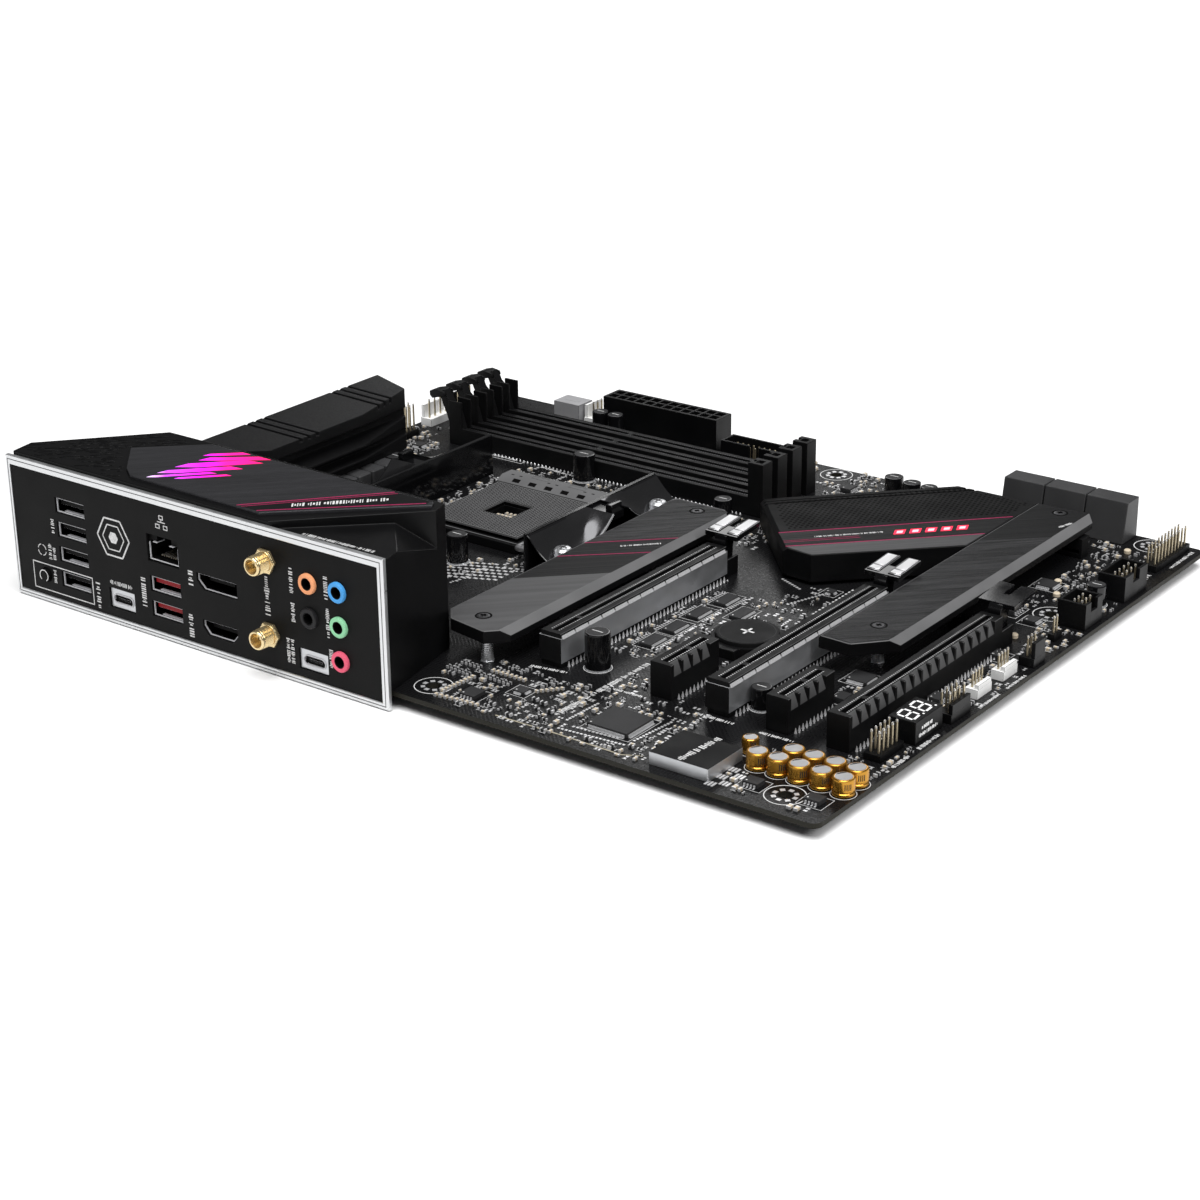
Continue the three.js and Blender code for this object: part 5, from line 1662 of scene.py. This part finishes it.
def add_header_body(solids, x0, x1, y0, y1, height, kind):
    """One header's moulding. Upright walls stand on the side nearest the board's edge."""
    outward, inward = (x1, -1) if x0 > BOARD_MIDDLE else (x0, 1)
    wall = sorted((outward, outward + inward * 1.3))
    look = 1 if kind == "white" else 0
    if kind == "box":
        solids.box(x0, x1, y0, y1, 0, 1.6)
        solids.box(x0, x0 + 1, y0, y1, 1.5, height)
        for start, end in ((y0, y0 + 1), (y1 - 1, y1)):
            solids.box(x0 + 0.9, x1, start, end, 1.5, height)
        middle = (y0 + y1) / 2
        for start, end, top in ((y0 + 0.9, middle - 2.2, height), (middle + 2.2, y1 - 0.9, height),
                                (middle - 2.3, middle + 2.3, height - 3.4)):
            solids.box(x1 - 1, x1, start, end, 1.5, top)
    elif kind == "shell":
        solids.box(x0, x1, y0, y1, 0, height, 2)
        solids.box(x0 + 3.0, x1 - 3.0, y0 + 3.4, y1 - 3.4, height - 0.1, height + 0.03, 2)
    else:
        solids.box(x0, x1, y0, y1, 0, 3.0 if kind != "strip" else height, look)
        if kind != "strip":
            solids.box(*wall, y0 + 0.5, y1 - 0.5, 2.9, height, look)


def make_headers():
    """The pin headers, fan headers and front type-C header, and the pins of the USB header."""
    bodies = Solids("header_bodies", MOULDED_BLACK, WHITE_PLASTIC, PALE_METAL)
    pins = Solids("header_pins", PIN_METAL, SOLDER)
    for x0, x1, y0, y1, height, kind, across, lengthwise, pin_height in HEADERS:
        add_header_body(bodies, x0, x1, y0, y1, height, kind)
        shift = 0 if kind in ("box", "strip") else math.copysign(0.5, BOARD_MIDDLE - x0)
        middle = (x0 + x1) / 2 + shift
        half = PIN_ROW_SPACING / 2
        columns = {0: (), 1: (middle,), 2: (middle - half, middle + half)}[across]
        for x in columns:
            for y in along(y0 + 1.6, y1 - 1.6, lengthwise):
                pins.box(*around(x, y, 0.3), 0, pin_height - 0.8)
                pins.box(*around(x, y, 0.3), pin_height - 0.8, pin_height, 1)
    low, high = node_box("usb_header")
    for y in (low.y + 2.9, high.y - 2.9):
        for x in along(low.x + 4, high.x - 4, 10):
            pins.box(*around(x, y, 0.3), 1.4, 7.4)
    bodies.build(bevel=0.12)
    pins.build(bevel=0.1)


# A digit's seven bars, between corners counted across and up in half digits.
SEGMENTS = (((0, 0), (1, 0)), ((0, 1), (1, 1)), ((0, 2), (1, 2)), ((0, 0), (0, 1)),
            ((0, 1), (0, 2)), ((1, 0), (1, 1)), ((1, 1), (1, 2)))
SEGMENT_TRIM = 0.12


def make_display_digits():
    """Two seven-segment digits, both showing 8, each with its point."""
    low, high = node_box("code_display")
    lit = printed("lit_segment", (0.9, 0.9, 0.9), Emission_Color=(1, 1, 1, 1),
                  Emission_Strength=0.2)
    digits = Solids("display_digits", lit)
    for start in (low.y + 1.4, low.y + 8.3):
        for ends in SEGMENTS:
            (ax, ay), (bx, by) = [(high.x - 1.7 - 2.9 * up - 0.25 * over,
                                   start + 4.2 * over + 0.35 * up) for over, up in ends]
            trim_x, trim_y = (bx - ax) * SEGMENT_TRIM, (by - ay) * SEGMENT_TRIM
            digits.strip((ax + trim_x, ay + trim_y), (bx - trim_x, by - trim_y), 0.7,
                         high.z, high.z + 0.05)
        digits.drum((high.x - 1.5, start + 5.4, high.z), [(0.35, 0), (0.35, 0.05)], 0, 10)
    digits.turn = Matrix(((0, 0, 1, high.x), (1, 0, 0, low.y), (0, 1, 0, 0), (0, 0, 0, 1)))
    label(digits, (3.5, 4.4), (9.5, 4.4), 1.1, 81)
    label(digits, (2.0, 2.4), (12.5, 2.4), 1.1, 82)
    digits.build()


# ---- Board printing ----

# Rows of label bars: start, end and height.
LABEL_ROWS = (
    ((206.0, 15.0), (206.8, 60.0), 2.0), ((303.3, 41.5), (303.3, 51.0), 1.4),
    ((303.2, 56.0), (303.2, 68.0), 1.4), ((302.0, 240.0), (302.0, 222.0), 1.3),
    ((190.6, 40.6), (178.2, 38.4), 1.4), ((251.6, 39.6), (239.0, 39.4), 1.4),
    ((219.0, 39.6), (209.0, 39.2), 1.4), ((272.0, 39.6), (261.0, 39.2), 1.4),
    ((124.6, 118.0), (124.6, 132.0), 1.3), ((70.5, 182.6), (87.7, 181.2), 1.4),
    ((303.9, 90.0), (303.9, 102.0), 1.1), ((303.9, 106.5), (303.9, 118.0), 1.1),
    ((44.0, 183.0), (58.0, 183.0), 1.2),
)
SCREW_PAD = 3.3
ISOLATION_LINE = ((191.8, 4.6), (214.6, 5.0), (237.2, 4.6), (242.7, 7.4))


def make_board_printing():
    """The board's white printing, the tinned pads round its holes and the audio section's line."""
    line = printed("isolation_line", (0.4, 0.36, 0.27))
    ink = Solids("board_printing", INK, SOLDER, line)
    for x, y in MOUNT_HOLES:
        ink.ring((x, y, 0), 5.7, 6.0, 0, INK_DEPTH, 0, 40)
        for step in range(8):
            turn = step * math.pi / 4
            ends = [(x + SCREW_PAD * math.cos(turn + lean), y + SCREW_PAD * math.sin(turn + lean))
                    for lean in (-0.22, 0.22)]
            ink.strip(*ends, 1.3, 0, 0.05, 1)
    for number, (start, end, height) in enumerate(LABEL_ROWS):
        label(ink, start, end, height, 60 + number)
    for x, y, size_x, size_y, *_ in CHIPS:
        reach_x, reach_y = size_x / 2 + 1.6, size_y / 2 + 1.6
        outline_box(ink, *around(x, y, reach_x, reach_y), FINE_LINE, 0, INK_DEPTH)
    for x, y, radius, _ in (*BLACK_CANS, *GOLD_CANS):
        ink.ring((x, y, 0), radius + 0.3, radius + 0.5, 0, INK_DEPTH, 0, 32)
    outline_box(ink, 40.0, 62.0, 181.0, 185.0, 0.2, 0, INK_DEPTH)
    path_strip(ink, ISOLATION_LINE, 0.5, 0, INK_DEPTH, 2)
    ink.build()


def make_can_mark():
    """Rows of plain bars printed on the audio section's shielding can."""
    top = node_box("audio_can")[1].z
    mark = Solids("audio_can_mark", INK)
    label(mark, (256.9, 4.9), (258.5, 22.7), 2.2, 71, top)
    mark.build()


def make_coin_cell_mark():
    """A plus sign and a fine ring on the cell's upper face."""
    x, y = middle_of("coin_cell")
    top = node_box("coin_cell")[1].z
    mark = Solids("coin_cell_mark", CHIP_BLACK, INK)
    mark.ring((x, y, top), 8.7, 8.9, -0.02, INK_DEPTH, 0, 48)
    add_cross(mark, x, y, 2.4, 0.4, top, top + INK_DEPTH)
    mark.build()


# Through-hole connectors and the pitch of their solder joints along x and y.
THROUGH_HOLES = (
    ("main_power_connector", 4.2, 4.2), ("cpu_power_connector", 4.2, 4.2), ("usb_header", 2.0, 5.4),
    ("usb_stack", 2.6, 3.2), ("network_usb_stack", 2.6, 3.2), ("audio_jack_block", 4.0, 4.0),
    ("sata_stack_1", 1.8, 3.4), ("sata_stack_2", 1.8, 3.4), ("sata_stack_3", 1.8, 3.4),
)


SOLDER_JOINT = ((0.2, -1.0), (0.45, -0.75), (0.8, -0.1), (0.85, 0.05))


def make_underside():
    """Solder joints on the back of the board under the through-hole connectors."""
    joints = Solids("underside_joints", SOLDER)
    base = node_box("circuit_board")[0].z + 0.1
    for node, pitch_x, pitch_y in THROUGH_HOLES:
        low, high = node_box(node)
        near = max(low.y, 2) + 1.6
        count_x = max(2, round((high.x - low.x - 3.6) / pitch_x) + 1)
        count_y = max(2, round((high.y - 1.6 - near) / pitch_y) + 1)
        for x in along(low.x + 1.8, high.x - 1.8, count_x):
            for y in along(near, high.y - 1.6, count_y):
                joints.drum((x, y, base), SOLDER_JOINT, 0, 10)
    joints.build()


make_port_linings()
make_jack_rings()
make_antenna_posts()
make_flash_ring()
make_rim_groove()
make_plate_marks()
make_cover_relief()
make_inlay_details()
make_heatsink_details()
make_chipset_art()
make_chipset_perforation()
make_posts()
make_power_stage()
make_pin_plate()
make_window_parts()
make_cam_cover()
make_socket_frame()
make_cooler_brackets()
make_contacts()
make_shield_edges()
make_latch_plates()
make_chips()
make_crowds()
make_pad_grids()
make_cans()
make_headers()
make_display_digits()
make_board_printing()
make_can_mark()
make_coin_cell_mark()
make_underside()
